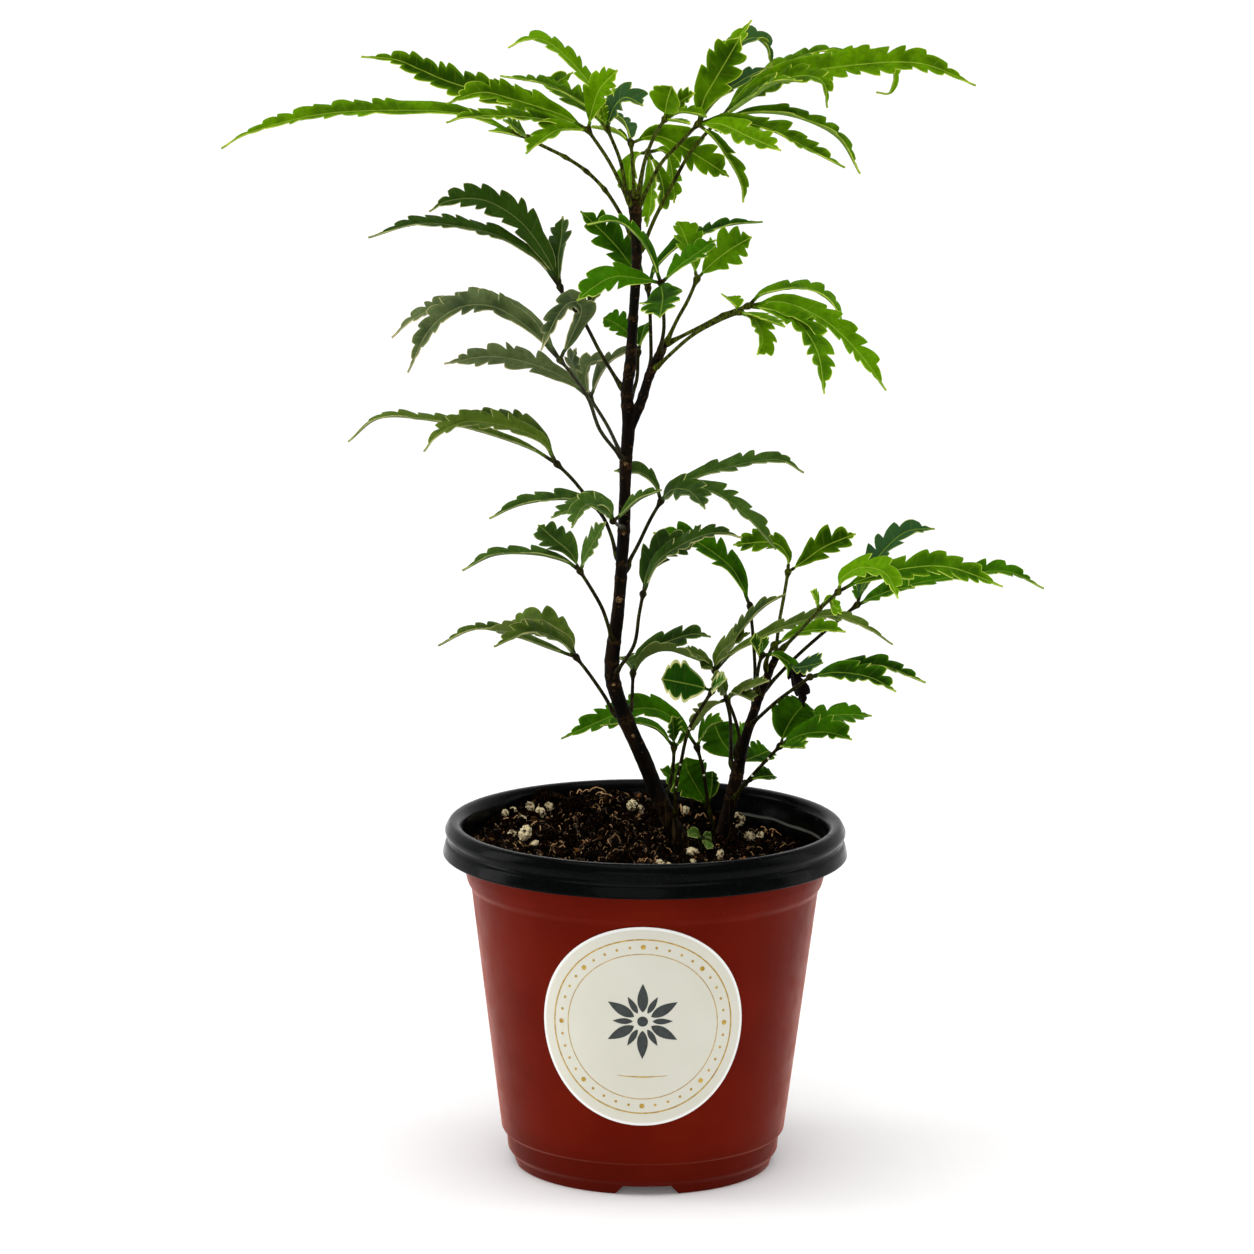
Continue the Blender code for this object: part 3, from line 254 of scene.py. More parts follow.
# A stalk starts at its foot on a stem, or in the soil, and ends at the hub, where the leaflets
# radiate. Blade holds the leaflet's greatest width in mm, the turn in degrees that its upper face
# has to the front (negative shows the underside), how much deeper its tip lies than its root, and
# the points that its midrib passes. A leaflet that doesn't grow from the hub names its start, and one
# whose teeth aren't left to the rule has their number.
LEAVES = (
    Leaf("crown_leaf_1", YOUNG, MAIN_STEM, (631, 243),
         ((620, 213), (605, 190), (586, 171), (565, 157), (541, 145)), (528, 138), 8, (
             Blade(7.5, 38, 6, ((465, 115), (400, 111), (320, 115), (250, 133), (221, 149))),
             Blade(4.0, 55, -10, ((512, 126), (503, 120))),
             Blade(4.5, 40, 11, ((506, 133), (489, 131))))),
    Leaf("crown_leaf_2", YOUNG, MAIN_STEM, (632, 200), ((610, 163),), (588, 130), -8, (
        Blade(8.5, 50, -4, ((560, 115), (510, 99), (480, 93), (447, 104))),
        Blade(7.0, 34, -13, ((530, 118), (470, 117), (446, 123))),
        Blade(9.0, 54, 10, ((535, 106), (457, 85), (420, 70), (395, 60), (361, 57))),
        Blade(8.5, 55, -3, ((594, 105), (601, 88), (618, 70))),
        Blade(7.5, 40, -12, ((560, 130), (540, 142), (526, 154))))),
    Leaf("crown_leaf_3", YOUNG, MAIN_STEM, (633, 196), ((620, 160),), (607, 128), 8, (
        Blade(9.0, 42, -8, ((615, 107), (626, 98), (643, 106))),
        Blade(5.0, 48, 6, ((612, 107), (614, 87))),
        Blade(3.5, 60, -4, ((603, 114), (600, 101))),
        Blade(6.0, 28, 10, ((590, 108), (548, 85), (500, 76))),
        Blade(7.5, 34, 6, ((598, 98), (578, 70), (550, 44), (528, 39), (508, 48))),
        Blade(8.0, 50, 16, ((588, 110), (568, 96), (556, 84), (573, 72))))),
    Leaf("crown_leaf_4", YOUNG, MAIN_STEM, (636, 199), ((633, 170),), (631, 143), 10, (
        Blade(5.0, 14, 8, ((620, 134), (607, 130), (590, 127))),
        Blade(6.5, 32, 10, ((627, 128), (618, 119), (608, 114))),
        Blade(10.0, 68, 3, ((655, 136), (680, 146), (705, 161), (729, 177))))),
    Leaf("crown_leaf_5", YOUNG, MAIN_STEM, (636, 192), ((645, 160), (655, 135)), (665, 119), -15, (
        Blade(8.5, 68, -4, ((667, 103), (672, 86))),
        Blade(5.5, 52, -4, ((680, 103), (695, 93))),
        Blade(6.0, 24, 1, ((682, 112), (707, 117))),
        Blade(3.0, 20, -6, ((678, 121), (690, 124))))),
    Leaf("crown_leaf_6", YOUNG, MAIN_STEM, (637, 218), ((643, 170),), (648, 152), 15, (
        Blade(6.5, 38, 2, ((664, 151), (671, 168), (674, 203))),
        Blade(7.0, 38, -5, ((657, 168), (663, 192), (658, 212))),
        Blade(7.0, 34, -9, ((652, 178), (651, 205), (647, 227))),
        Blade(8.0, 52, 5, ((636, 156), (630, 172), (631, 195))))),
    Leaf("crown_leaf_7", YOUNG, MAIN_STEM, (638, 209), ((660, 165), (680, 143)), (698, 124), -8, (
        Blade(7.5, 34, -6, ((722, 119), (770, 130), (800, 145), (845, 168))),
        Blade(8.5, 50, -14, ((722, 125), (748, 137), (781, 151))),
        Blade(6.0, 30, -3, ((714, 138), (728, 158), (741, 183), (743, 203))),
        Blade(10.5, 76, -2, ((704, 100), (714, 82), (727, 60), (741, 36))),
        Blade(7.0, 48, 9, ((712, 95), (733, 48), (752, 20))),
        Blade(8.0, 42, 16, ((708, 100), (727, 58), (750, 39), (766, 46), (772, 70))),
        Blade(7.0, 38, 6, ((716, 100), (742, 81), (770, 67))))),
    Leaf("crown_leaf_8", YOUNG, MAIN_STEM, (640, 255),
         ((655, 218), (671, 187), (690, 153), (710, 129)), (722, 117), 5, (
             Blade(10.0, 54, -6, ((745, 98), (775, 79), (850, 66), (920, 64), (976, 86))),
             Blade(7.0, 28, 14, ((750, 84), (790, 62), (822, 51), (856, 52))),
             Blade(8.0, 42, 8, ((752, 90), (800, 70), (862, 60), (892, 70), (890, 92), (876, 92))),
             Blade(8.0, 42, -14, ((752, 95), (795, 77), (822, 82), (827, 108))),
             Blade(6.0, 14, -18, ((748, 100), (775, 83), (802, 81))),
             Blade(7.0, 28, 8, ((760, 112), (800, 118), (838, 138), (860, 174))),
             Blade(4.0, 50, -10, ((722, 125), (721, 133))))),
    Leaf("branch_leaf_1", MATURE, MAIN_STEM, (650, 372), ((651, 350), (650, 312)), (648, 288), 12, (
        Blade(9.5, 66, 2, ((632, 267), (612, 242), (580, 211))),
        Blade(7.0, 24, 10, ((657, 266), (683, 243), (725, 226), (763, 222))))),
    Leaf("branch_leaf_2", MATURE, MAIN_STEM, (661, 352), ((664, 325),), (661, 283), -14, (
        Blade(6.0, 24, -2, ((648, 250), (630, 229), (612, 221), (587, 225))),
        Blade(8.5, 54, -5, ((640, 279), (615, 277), (596, 286), (577, 301))),
        Blade(11.0, 66, -16, ((663, 298), (660, 318))),
        Blade(8.0, 40, 6, ((685, 262), (700, 252), (716, 240))))),
    Leaf("branch_leaf_3", YOUNG, MAIN_STEM, (665, 346), ((677, 320), (688, 300)), (697, 279), 2, (
        Blade(9.5, 52, 4, ((691, 255), (683, 234), (677, 221))),
        Blade(10.5, 72, -4, ((712, 264), (730, 250), (752, 237))))),
    Leaf("branch_leaf_4", YOUNG, MAIN_STEM, (665, 344), ((700, 327), (723, 315)), (748, 306), -6, (
        Blade(7.0, 28, 12, ((765, 293), (805, 288), (832, 303), (843, 326))),
        Blade(8.5, 46, -4, ((775, 302), (800, 308), (830, 325), (860, 355), (886, 391))),
        Blade(8.5, 50, -14, ((775, 311), (797, 322), (817, 352), (824, 394))),
        Blade(6.0, 32, -8, ((780, 312), (805, 323), (827, 349))))),
    Leaf("branch_leaf_5", YOUNG, MAIN_STEM, (656, 366), ((690, 337), (718, 321)), (740, 312), -14, (
        Blade(8.0, 42, -8, ((755, 321), (762, 338), (757, 355))),
        Blade(6.0, 38, 5, ((734, 304), (727, 297))),
        Blade(5.0, 28, -12, ((760, 318), (785, 327))))),
    Leaf("right_leaf_1", MATURE, MAIN_STEM, (629, 403), ((637, 378),), (638, 352), 10, (
        Blade(8.5, 54, 2, ((632, 338), (619, 326), (603, 318))),
        Blade(6.5, 40, 4, ((642, 338), (646, 324))))),
    Leaf("left_leaf_1", OLD, MAIN_STEM, (627, 391), ((600, 352), (583, 320), (567, 302)), (560, 287), 8, (
        Blade(9.5, 56, -4, ((545, 255), (520, 222), (485, 201), (450, 201), (429, 212))),
        Blade(7.5, 30, -14, ((540, 262), (515, 245), (480, 231), (420, 224), (368, 238))),
        Blade(8.5, 44, 6, ((559, 258), (562, 237), (563, 216))),
        Blade(4.5, 40, 4, ((590, 303), (602, 288)), (584, 321)))),
    Leaf("left_leaf_2", OLD, MAIN_STEM, (626, 464), ((600, 430), (588, 398), (570, 372)), (560, 360), -10, (
        Blade(7.5, 42, -7, ((573, 331), (581, 311), (574, 302), (560, 313), (541, 351))),
        Blade(8.5, 42, -5, ((530, 330), (495, 308), (460, 308), (430, 330), (408, 373))),
        Blade(7.5, 36, 9, ((535, 325), (490, 303), (450, 305), (415, 318), (392, 338))))),
    Leaf("left_leaf_3", OLD, MAIN_STEM, (626, 455), ((607, 425),), (590, 398), 12, (
        Blade(8.5, 52, 2, ((565, 379), (530, 364), (490, 357), (444, 364))),
        Blade(7.0, 42, 8, ((579, 378), (572, 362), (576, 348))),
        Blade(6.0, 28, 3, ((602, 372), (616, 357), (638, 348))),
        Blade(6.0, 38, -5, ((586, 378), (591, 364), (606, 359))))),
    Leaf("left_leaf_4", OLD, MAIN_STEM, (622, 562),
         ((611, 535), (603, 517), (590, 501), (573, 480)), (557, 464), 8, (
             Blade(8.0, 38, -8, ((540, 440), (510, 428), (470, 422), (440, 433), (424, 452))),
             Blade(7.0, 28, 9, ((536, 430), (500, 417), (445, 418))),
             Blade(6.5, 22, 0, ((530, 448), (480, 431), (430, 420), (380, 418), (348, 442))))),
    Leaf("left_leaf_5", OLD, MAIN_STEM, (624, 529), ((618, 525),), (613, 521), -11, (
        Blade(6.5, 24, -2, ((600, 504), (560, 499), (520, 505), (489, 519))),
        Blade(7.0, 34, -9, ((608, 506), (590, 503), (551, 518))),
        Blade(7.0, 44, -14, ((602, 508), (585, 506), (572, 528))),
        Blade(5.0, 20, 1, ((622, 514), (640, 499), (662, 490))))),
    Leaf("left_leaf_6", OLD, MAIN_STEM, (615, 640), ((608, 625), (602, 608), (592, 590)), (580, 571), -6, (
        Blade(6.0, 20, 4, ((565, 561), (535, 554), (495, 555), (462, 571))),
        Blade(8.5, 62, 6, ((570, 553), (555, 540), (538, 525))),
        Blade(6.5, 36, -6, ((588, 553), (597, 538), (606, 522))))),
    Leaf("left_leaf_7", OLD, MAIN_STEM, (624, 717), ((605, 697), (590, 675)), (576, 657), 6, (
        Blade(6.5, 20, 6, ((550, 648), (510, 634), (475, 629), (438, 646))),
        Blade(7.5, -34, -4, ((568, 643), (545, 634), (485, 629))),
        Blade(7.0, 30, -12, ((560, 641), (530, 632), (494, 647))),
        Blade(8.5, 48, 14, ((564, 637), (540, 621), (505, 627))))),
    Leaf("right_leaf_2", OLD, MAIN_STEM, (623, 576), ((630, 560), (638, 545), (650, 520)), (661, 501), 6, (
        Blade(6.5, 32, 2, ((655, 485), (640, 473), (614, 471))),
        Blade(7.5, 30, 4, ((675, 487), (716, 471), (775, 460), (804, 473))),
        Blade(8.5, 46, -14, ((673, 490), (690, 492), (705, 509))),
        Blade(7.5, 30, -9, ((680, 488), (715, 493), (750, 520), (776, 550))))),
    Leaf("right_leaf_3", MATURE, MAIN_STEM, (614, 674), ((634, 645), (639, 615)), (643, 594), -10, (
        Blade(9.5, 54, 2, ((649, 568), (665, 551), (695, 543))),
        Blade(7.5, 28, -8, ((658, 562), (688, 542), (718, 533), (742, 538))))),
    Leaf("right_leaf_4", OLD, MAIN_STEM, (626, 720), ((632, 700),), (633, 673), 8, (
        Blade(7.5, 38, -1, ((640, 656), (655, 647), (690, 635), (711, 637))),
        Blade(6.0, -28, -9, ((645, 657), (668, 650), (701, 661))),
        Blade(6.5, 50, 7, ((629, 664), (623, 657))))),
    Leaf("base_leaf_1", MATURE, MAIN_STEM, (661, 802), ((669, 788), (673, 768)), (674, 747), 10, (
        Blade(6.0, 16, 1, ((657, 729), (630, 722), (600, 726))),
        Blade(5.5, 44, -4, ((673, 732), (672, 716))),
        Blade(3.5, 30, -3, ((681, 741), (688, 734))))),
    Leaf("base_leaf_2", MATURE, MAIN_STEM, (667, 815),
         ((676, 788), (681, 762), (690, 727)), (712, 691), -2, (
             Blade(11.0, 72, -4, ((700, 687), (682, 683), (661, 679)), None, 2),
             Blade(6.0, 36, -10, ((714, 687), (727, 679))))),
    Leaf("soil_leaf_1", MATURE, None, (714, 831), ((709, 808), (703, 770)), (697, 747), 18, (
        Blade(9.0, 46, -2, ((685, 731), (660, 711), (625, 712), (561, 739))),
        Blade(6.5, 28, -5, ((701, 738), (709, 727), (723, 721))))),
    Leaf("soil_leaf_2", MATURE, None, (711, 824), ((710, 815),), (707, 806), 22, (
        Blade(11.0, 62, -1, ((698, 790), (687, 770), (686, 757))),
        Blade(8.5, 40, 1, ((712, 790), (713, 771))),
        Blade(8.5, 42, -4, ((688, 791), (673, 779), (660, 769))))),
    Leaf("seedling", YOUNG, None, (701, 848), ((701, 844),), (702, 840), 6, (
        Blade(3.5, 55, -3, ((696, 834), (688, 836))),
        Blade(3.5, 55, -4, ((706, 842), (707, 849))),
        Blade(3.0, 50, 1, ((707, 837), (711, 838))))),
    Leaf("second_leaf_1", OLD, SECOND_STEM, (738, 771),
         ((731, 747), (730, 717), (723, 690)), (715, 671), 13, (
             Blade(6.5, 30, 0, ((703, 658), (682, 652))),
             Blade(5.5, 40, -1, ((709, 667), (701, 668))),
             Blade(7.0, 40, -7, ((718, 657), (731, 644), (750, 633))),
             Blade(5.5, 26, -12, ((726, 655), (745, 626), (765, 606), (786, 594))),
             Blade(7.0, 28, -1, ((730, 655), (752, 642), (785, 627), (830, 616), (865, 627), (893, 645))))),
    Leaf("second_leaf_2", OLD, SECOND_STEM, (741, 755), ((739, 736), (734, 716)), (727, 699), 9, (
        Blade(7.5, -30, -4, ((712, 706), (700, 719), (690, 731))),
        Blade(5.5, 28, -9, ((740, 690), (755, 685), (769, 681))),
        Blade(6.0, 28, -8, ((737, 694), (753, 701))),
        Blade(7.0, 40, -4, ((722, 688), (711, 679))))),
    Leaf("second_leaf_3", MATURE, SECOND_STEM, (756, 706), ((755, 670), (753, 636)), (750, 606), 18, (
        Blade(9.5, 44, 6, ((741, 585), (727, 564), (690, 539), (653, 533))),)),
    Leaf("second_leaf_4", YOUNG, SECOND_STEM, (775, 660), ((779, 624), (784, 596)), (788, 572), 24, (
        Blade(9.5, 54, 2, ((802, 563), (825, 547), (856, 534))),
        Blade(8.5, 44, 2, ((787, 556), (772, 543), (733, 545))))),
    Leaf("second_leaf_5", MATURE, SECOND_STEM, (760, 695), ((757, 680), (759, 665)), (762, 655), 5, (
        Blade(6.0, 40, -5, ((757, 648), (750, 641))),
        Blade(4.5, 45, -5, ((762, 647), (761, 638))),
        Blade(7.5, 40, -2, ((776, 655), (788, 663), (796, 683), (804, 707)), None, 2),
        Blade(7.5, 40, -6, ((797, 668), (823, 663)), (787, 662)))),
    Leaf("second_leaf_6", MATURE, SECOND_STEM, (752, 722), ((776, 702), (796, 687)), (810, 677), -10, (
        Blade(7.0, 28, -2, ((840, 669), (880, 666), (926, 683))),
        Blade(8.0, 42, -12, ((838, 673), (870, 678), (896, 692))))),
    Leaf("second_leaf_7", YOUNG, SECOND_STEM, (783, 647), ((798, 633), (820, 609)), (838, 592), -10, (
        Blade(8.5, 40, -6, ((844, 577), (862, 568), (885, 574), (898, 599))),
        Blade(9.0, 46, 2, ((860, 581), (905, 569), (950, 568), (1003, 587))),
        Blade(4.0, 40, -4, ((817, 602), (811, 591)), (819, 609)),
        Blade(4.5, 45, 3, ((828, 600), (834, 607), (842, 611)), (819, 609)))),
    Leaf("second_leaf_8", MATURE, SECOND_STEM, (762, 690), ((796, 657), (823, 633)), (857, 605), 20, (
        Blade(7.5, 34, 2, ((895, 589), (950, 578), (1005, 572), (1044, 589))),
        Blade(8.0, 44, 9, ((866, 578), (884, 551), (907, 532), (935, 529))),
        Blade(5.0, 44, 7, ((861, 592), (866, 580))),
        Blade(7.0, 38, -6, ((875, 597), (895, 590), (915, 588))))),
    Leaf("second_leaf_9", MATURE, SECOND_STEM, (770, 671), ((768, 656),), (774, 645), 8, (
        Blade(7.0, 32, -1, ((797, 634), (820, 630), (846, 632))),)),
    Leaf("second_leaf_10", MATURE, SECOND_STEM, (732, 797), ((744, 785), (760, 767)), (780, 746), 2, (
        Blade(11.5, 68, 4, ((786, 730), (795, 715), (806, 703)), None, 3),
        Blade(9.0, 42, -9, ((803, 735), (828, 733), (852, 740))),
        Blade(9.0, 42, 8, ((803, 729), (833, 716), (872, 716))),
        Blade(6.5, 20, -10, ((792, 747), (805, 748))))),
    Leaf("second_leaf_11", MATURE, SECOND_STEM, (737, 776), ((737, 770),), (738, 763), 21, (
        Blade(11.0, 72, 4, ((729, 751), (720, 738), (714, 723))),
        Blade(8.5, 50, 6, ((750, 759), (769, 751))),
        Blade(5.0, 44, 8, ((742, 748), (744, 733), (740, 722))))),
    Leaf("second_leaf_12", MATURE, SECOND_STEM, (735, 790), ((740, 787),), (745, 783), 20, (
        Blade(6.5, 34, 3, ((757, 778), (774, 776))),)),
)

# Leaf colours that differ from those of the leaf's age.
LEAF_LOOKS = {
    "left_leaf_1": "waxed_dark_leaf",
    "left_leaf_2": "waxed_grey_leaf",
    "left_leaf_3": "waxed_grey_leaf",
    "left_leaf_4": "waxed_olive_leaf",
    "left_leaf_7": "waxed_olive_leaf",
    "base_leaf_2": "waxed_cream_edged_leaf",
    "right_leaf_3": "waxed_dark_leaf",
    "second_leaf_1": "waxed_olive_leaf",
    "second_leaf_2": "waxed_olive_leaf",
    "second_leaf_9": "waxed_lime_leaf",
    "branch_leaf_3": "waxed_lime_leaf",
    "branch_leaf_4": "waxed_lime_leaf",
    "second_leaf_7": "waxed_lime_leaf",
    "seedling": "waxed_old_leaf",
}

# Marks on single pieces: the blade whose end is dead and the blades with painted sheen, a grey tint
# for the room reflected in their wax, by their leaf and number, and by picture points swollen knots
# on stalks, rings and corky scars with their radii on the main stem, and sap beads on stalks.
DEAD_END = ("second_leaf_5", 2)
PAINTED_SHEEN_BLADES = (
    ("crown_leaf_7", 5), ("crown_leaf_7", 6), ("crown_leaf_3", 0), ("second_leaf_8", 1),
    ("second_leaf_5", 3), ("crown_leaf_4", 1),
)
STALK_KNOTS = {
    "crown_leaf_1": ((586, 171), (565, 157), (605, 190)),
    "left_leaf_1": ((583, 320),),
    "second_leaf_7": ((820, 609),),
    "branch_leaf_4": ((723, 315),),
}
STEM_RINGS = ((613, 683), (612, 660), (624, 529), (626, 460), (627, 392), (630, 363), (635, 205))
STEM_SCARS = (((619, 600), 1.0), ((613, 684), 0.7), ((622, 533), 0.6), ((626, 464), 0.6), ((636, 735), 0.6))
SAP_BEADS = {
    "base_leaf_2": ((677, 764), (676, 776), (673, 787), (690, 729)),
    "second_leaf_10": ((753, 776), (768, 758)),
    "soil_leaf_1": ((704, 775),),
}


# Places from picture points

FORWARD = np.array([0.0, math.cos(PITCH), -math.sin(PITCH)])
RIGHT = np.array([math.cos(ROLL), math.sin(ROLL) * math.sin(PITCH), math.sin(ROLL) * math.cos(PITCH)])
UP = np.cross(RIGHT, FORWARD)
TO_EYE = -FORWARD


def unit(vectors):
    """Vectors of the same directions, one long."""
    length = np.linalg.norm(vectors, axis=-1, keepdims=True)
    return vectors / np.maximum(length, 1e-9)


def distances(points):
    """How far along them each point lies from the first."""
    return np.concatenate([[0.0], np.cumsum(np.linalg.norm(np.diff(points, axis=0), axis=1))])


def turns_of(sides):
    """Angles of this many even steps round a circle."""
    return np.arange(sides) * 2 * math.pi / sides


def ray(point):
    """Direction in which the picture point is seen."""
    across, down = point
    return FORWARD * FOCAL + RIGHT * (across - PICTURE_CENTRE) - UP * (down - PICTURE_CENTRE)


def sight(point, depth):
    """Place that the picture point shows at this depth behind the pot's centre line."""
    direction = ray(point)
    return EYE + direction * (depth - EYE[1]) / direction[1]


def spread(depth):
    """Depth of a hub, with the leaves opened to the front and the back of the stems."""
    return MIDDLE_DEPTH + DEPTH_SPREAD * (depth - MIDDLE_DEPTH)


def soil_height(x, y):
    """Height of the soil: it falls to the right, and has low lumps."""
    lumps = np.sin(0.31 * x + 1.0) * np.cos(0.27 * y) + 0.6 * np.sin(0.53 * y - 0.4 * x)
    return SOIL_LEVEL - SOIL_FALL_TO_RIGHT * x + SOIL_RISE_TO_BACK * y + LUMP_HEIGHT * lumps


def on_soil(point):
    """Place on the soil that the picture point shows."""
    direction = ray(point)
    place = EYE + direction * (SOIL_LEVEL - EYE[2]) / direction[2]
    place[2] = soil_height(place[0], place[1])
    return place


def smooth_line(points, shares):
    """Places at these shares of the length of a smooth curve, and that length: between two points it
    is the cubic that passes both with the slopes that their neighbours give."""
    points = np.asarray(points, float)
    ends = np.vstack([2 * points[0] - points[1], points, 2 * points[-1] - points[-2]])
    t = np.linspace(0.0, 1.0, 24, endpoint=False)[:, None, None]
    a, b, c, d = ends[:-3], ends[1:-2], ends[2:-1], ends[3:]
    spans = 0.5 * (2 * b + (c - a) * t + (2 * a - 5 * b + 4 * c - d) * t**2
                   + (3 * b - a - 3 * c + d) * t**3)
    dense = np.vstack([spans.transpose(1, 0, 2).reshape(-1, 3), points[-1:]])
    along = distances(dense)
    wanted = np.asarray(shares) * along[-1]
    return np.stack([np.interp(wanted, along, dense[:, k]) for k in range(3)], axis=1), along[-1]


# Surfaces as closed grids

Shell = namedtuple("Shell", "points faces marks")


def closed_grid(points, **marks):
    """Closed surface from rows of points. The columns of a row run round anticlockwise as seen from
    the next row, and the first and last rows are capped. Any number of equal grids go in at once."""
    rows, columns = points.shape[-3:-1]
    many = points.reshape(-1, rows, columns, 3)
    first = np.arange(len(many))[:, None, None] * rows * columns
    row = np.arange(rows - 1)[:, None] * columns
    column = np.arange(columns)
    near = first + row + column
    after = first + row + (column + 1) % columns
    quads = np.stack([near, after, after + columns, near + columns], axis=-1).reshape(-1, 4)
    caps = np.vstack([first[:, 0] + column[::-1], first[:, 0] + (rows - 1) * columns + column])
    whole = {name: np.broadcast_to(value, many.shape[:3]).reshape(-1) for name, value in marks.items()}
    return Shell(many.reshape(-1, 3), [quads, caps], whole)


def joined(shells):
    """One shell of them all."""
    points = np.vstack([shell.points for shell in shells])
    firsts = np.cumsum([0] + [len(shell.points) for shell in shells[:-1]])
    faces = [group + first for shell, first in zip(shells, firsts) for group in shell.faces]
    marks = {name: np.concatenate([shell.marks[name] for shell in shells]) for name in shells[0].marks}
    return Shell(points, faces, marks)


def tube(path, radii, sides, reference, **marks):
    """Round tube: at each place of the path a circle square to it, whose first point also lies square
    to the reference direction. Any number of equal paths go in at once."""
    tangents = unit(np.gradient(path, axis=-2))
    side = unit(np.cross(tangents, reference))
    other = np.cross(tangents, side)
    angles = turns_of(sides)
    ring = np.cos(angles)[:, None] * side[..., None, :] + np.sin(angles)[:, None] * other[..., None, :]
    points = path[..., None, :] + ring * np.asarray(radii)[..., None, None]
    marks = {name: np.asarray(value)[..., None] for name, value in marks.items()}
    return closed_grid(points, **marks)


def rounded(corners, radius):
    """Profile through the corners. Each inner corner turns into a quadratic curve that starts and
    ends a radius away from it, or a little less than half its shorter side."""
    corners = np.asarray(corners, float)
    before = corners[:-2] - corners[1:-1]
    after = corners[2:] - corners[1:-1]
    shorter = np.minimum(np.linalg.norm(before, axis=1), np.linalg.norm(after, axis=1))
    reach = np.minimum(radius, 0.45 * shorter)[:, None]
    start = corners[1:-1] + unit(before) * reach
    end = corners[1:-1] + unit(after) * reach
    t = np.linspace(0.0, 1.0, 4)[:, None, None]
    curves = (1 - t)**2 * start + 2 * t * (1 - t) * corners[1:-1] + t**2 * end
    return np.vstack([corners[:1], curves.transpose(1, 0, 2).reshape(-1, 2), corners[-1:]])


def turned(profile, sides):
    """Solid of revolution about the upright axis from a profile of radius and height."""
    angles = turns_of(sides)
    radius, height = profile[:, :1], profile[:, 1:]
    points = np.stack([radius * np.cos(angles), radius * np.sin(angles), height + 0 * angles], axis=-1)
    return closed_grid(points)


def blobs(centres, sizes, rng, rows, columns, lumpiness, flatness, **marks):
    """Lumps: spheres of latitude rows whose points are moved in and out at random by the lumpiness,
    each squeezed by its own three random shares, up to the flatness, and turned at random."""
    count = len(centres)
    latitude = (np.arange(rows) + 0.6) / (rows + 0.2) * math.pi - math.pi / 2
    angles = turns_of(columns)
    flat = np.cos(latitude)[:, None]
    upright = np.sin(latitude)[:, None] + 0 * angles
    ball = np.stack([flat * np.cos(angles), flat * np.sin(angles), upright], axis=-1)
    rough = 1 + lumpiness * rng.uniform(-1, 1, (count, rows, columns, 1))
    squeeze = 1 - flatness * rng.random((count, 1, 1, 3))
    turns = np.linalg.qr(rng.normal(size=(count, 3, 3)))[0]
    turns *= np.sign(np.linalg.det(turns))[:, None, None]
    points = np.einsum("nij,nrcj->nrci", turns, ball * rough * squeeze)
    points = centres[:, None, None, :] + points * np.asarray(sizes)[:, None, None, None]
    marks = {name: np.asarray(value)[:, None, None] for name, value in marks.items()}
    return closed_grid(points, **marks)


def waves(x, y, rng, size, height):
    """Roughness: a sum of sine waves in random directions with about this size from crest to crest."""
    count = 24
    heading = rng.uniform(0, 2 * math.pi, count)
    pitch = 2 * math.pi / (size * rng.uniform(0.7, 1.4, count))
    phase = rng.uniform(0, 2 * math.pi, count)
    across = x[..., None] * np.cos(heading) + y[..., None] * np.sin(heading)
    return height * np.sin(across * pitch + phase).sum(axis=-1) / math.sqrt(count)


def piece(name, shell, look, replaced=(), sharp=40.0):
    """Mesh object from a shell, riding on the frame. Its edges above the sharp angle, in degrees,
    aren't smoothed."""
    mesh = bpy.data.meshes.new(name)
    corners = np.concatenate([group.reshape(-1) for group in shell.faces])
    counts = np.concatenate([np.full(len(group), group.shape[1]) for group in shell.faces])
    starts = np.concatenate([[0], np.cumsum(counts)[:-1]])
    mesh.vertices.add(len(shell.points))
    mesh.vertices.foreach_set("co", (shell.points * MM).astype(np.float32).reshape(-1))
    mesh.loops.add(len(corners))
    mesh.loops.foreach_set("vertex_index", corners.astype(np.int32))
    mesh.polygons.add(len(counts))
    mesh.polygons.foreach_set("loop_start", starts.astype(np.int32))
    mesh.update(calc_edges=True)
    for mark, values in shell.marks.items():
        layer = mesh.attributes.new(mark, "FLOAT", "POINT")
        layer.data.foreach_set("value", values.astype(np.float32))
    mesh.shade_smooth()
    mesh.set_sharp_from_angle(angle=math.radians(sharp))
    mesh.materials.append(look)
    made = bpy.data.objects.new(name, mesh)
    bpy.context.scene.collection.objects.link(made)
    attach(made, "root")
    if replaced:
        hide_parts(*replaced)
    return made


# Materials

# Settings of the nodes that the finishes use. A Map Range takes the value, its own two limits and the
# two limits that it is carried to. A Mix of colours takes its share at socket 0 and its colours at
# 6 and 7, and gives them at 2.
SOFT = {"interpolation_type": "SMOOTHSTEP"}
TINT = {"data_type": "RGBA"}
TIMES = {"operation": "MULTIPLY"}
TIMES_PLUS = {"operation": "MULTIPLY_ADD"}


def colour(code):
    """Linear colour of an sRGB hex value."""
    parts = [int(code[k:k + 2], 16) / 255 for k in (1, 3, 5)]
    linear = [p / 12.92 if p <= 0.04045 else ((p + 0.055) / 1.055)**2.4 for p in parts]
    return (*linear, 1.0)


def add(tree, kind, inputs=(), out=0, **settings):
    """Adds a node with its settings and links, and returns one of its outputs. The inputs are a row
    for its first sockets, or a dictionary; each is a value or another node's output."""
    made = tree.nodes.new("ShaderNode" + kind)
    for setting, value in settings.items():
        setattr(made, setting, value)
    for socket, value in (inputs if isinstance(inputs, dict) else dict(enumerate(inputs))).items():
        if isinstance(value, bpy.types.NodeSocket):
            tree.links.new(value, made.inputs[socket])
        else:
            made.inputs[socket].default_value = value
    return made.outputs[out]


def per_mm(size):
    """Scale of a pattern on Object coordinates, in metres, for a feature of this size in millimetres."""
    return 1.0 / (size * MM)


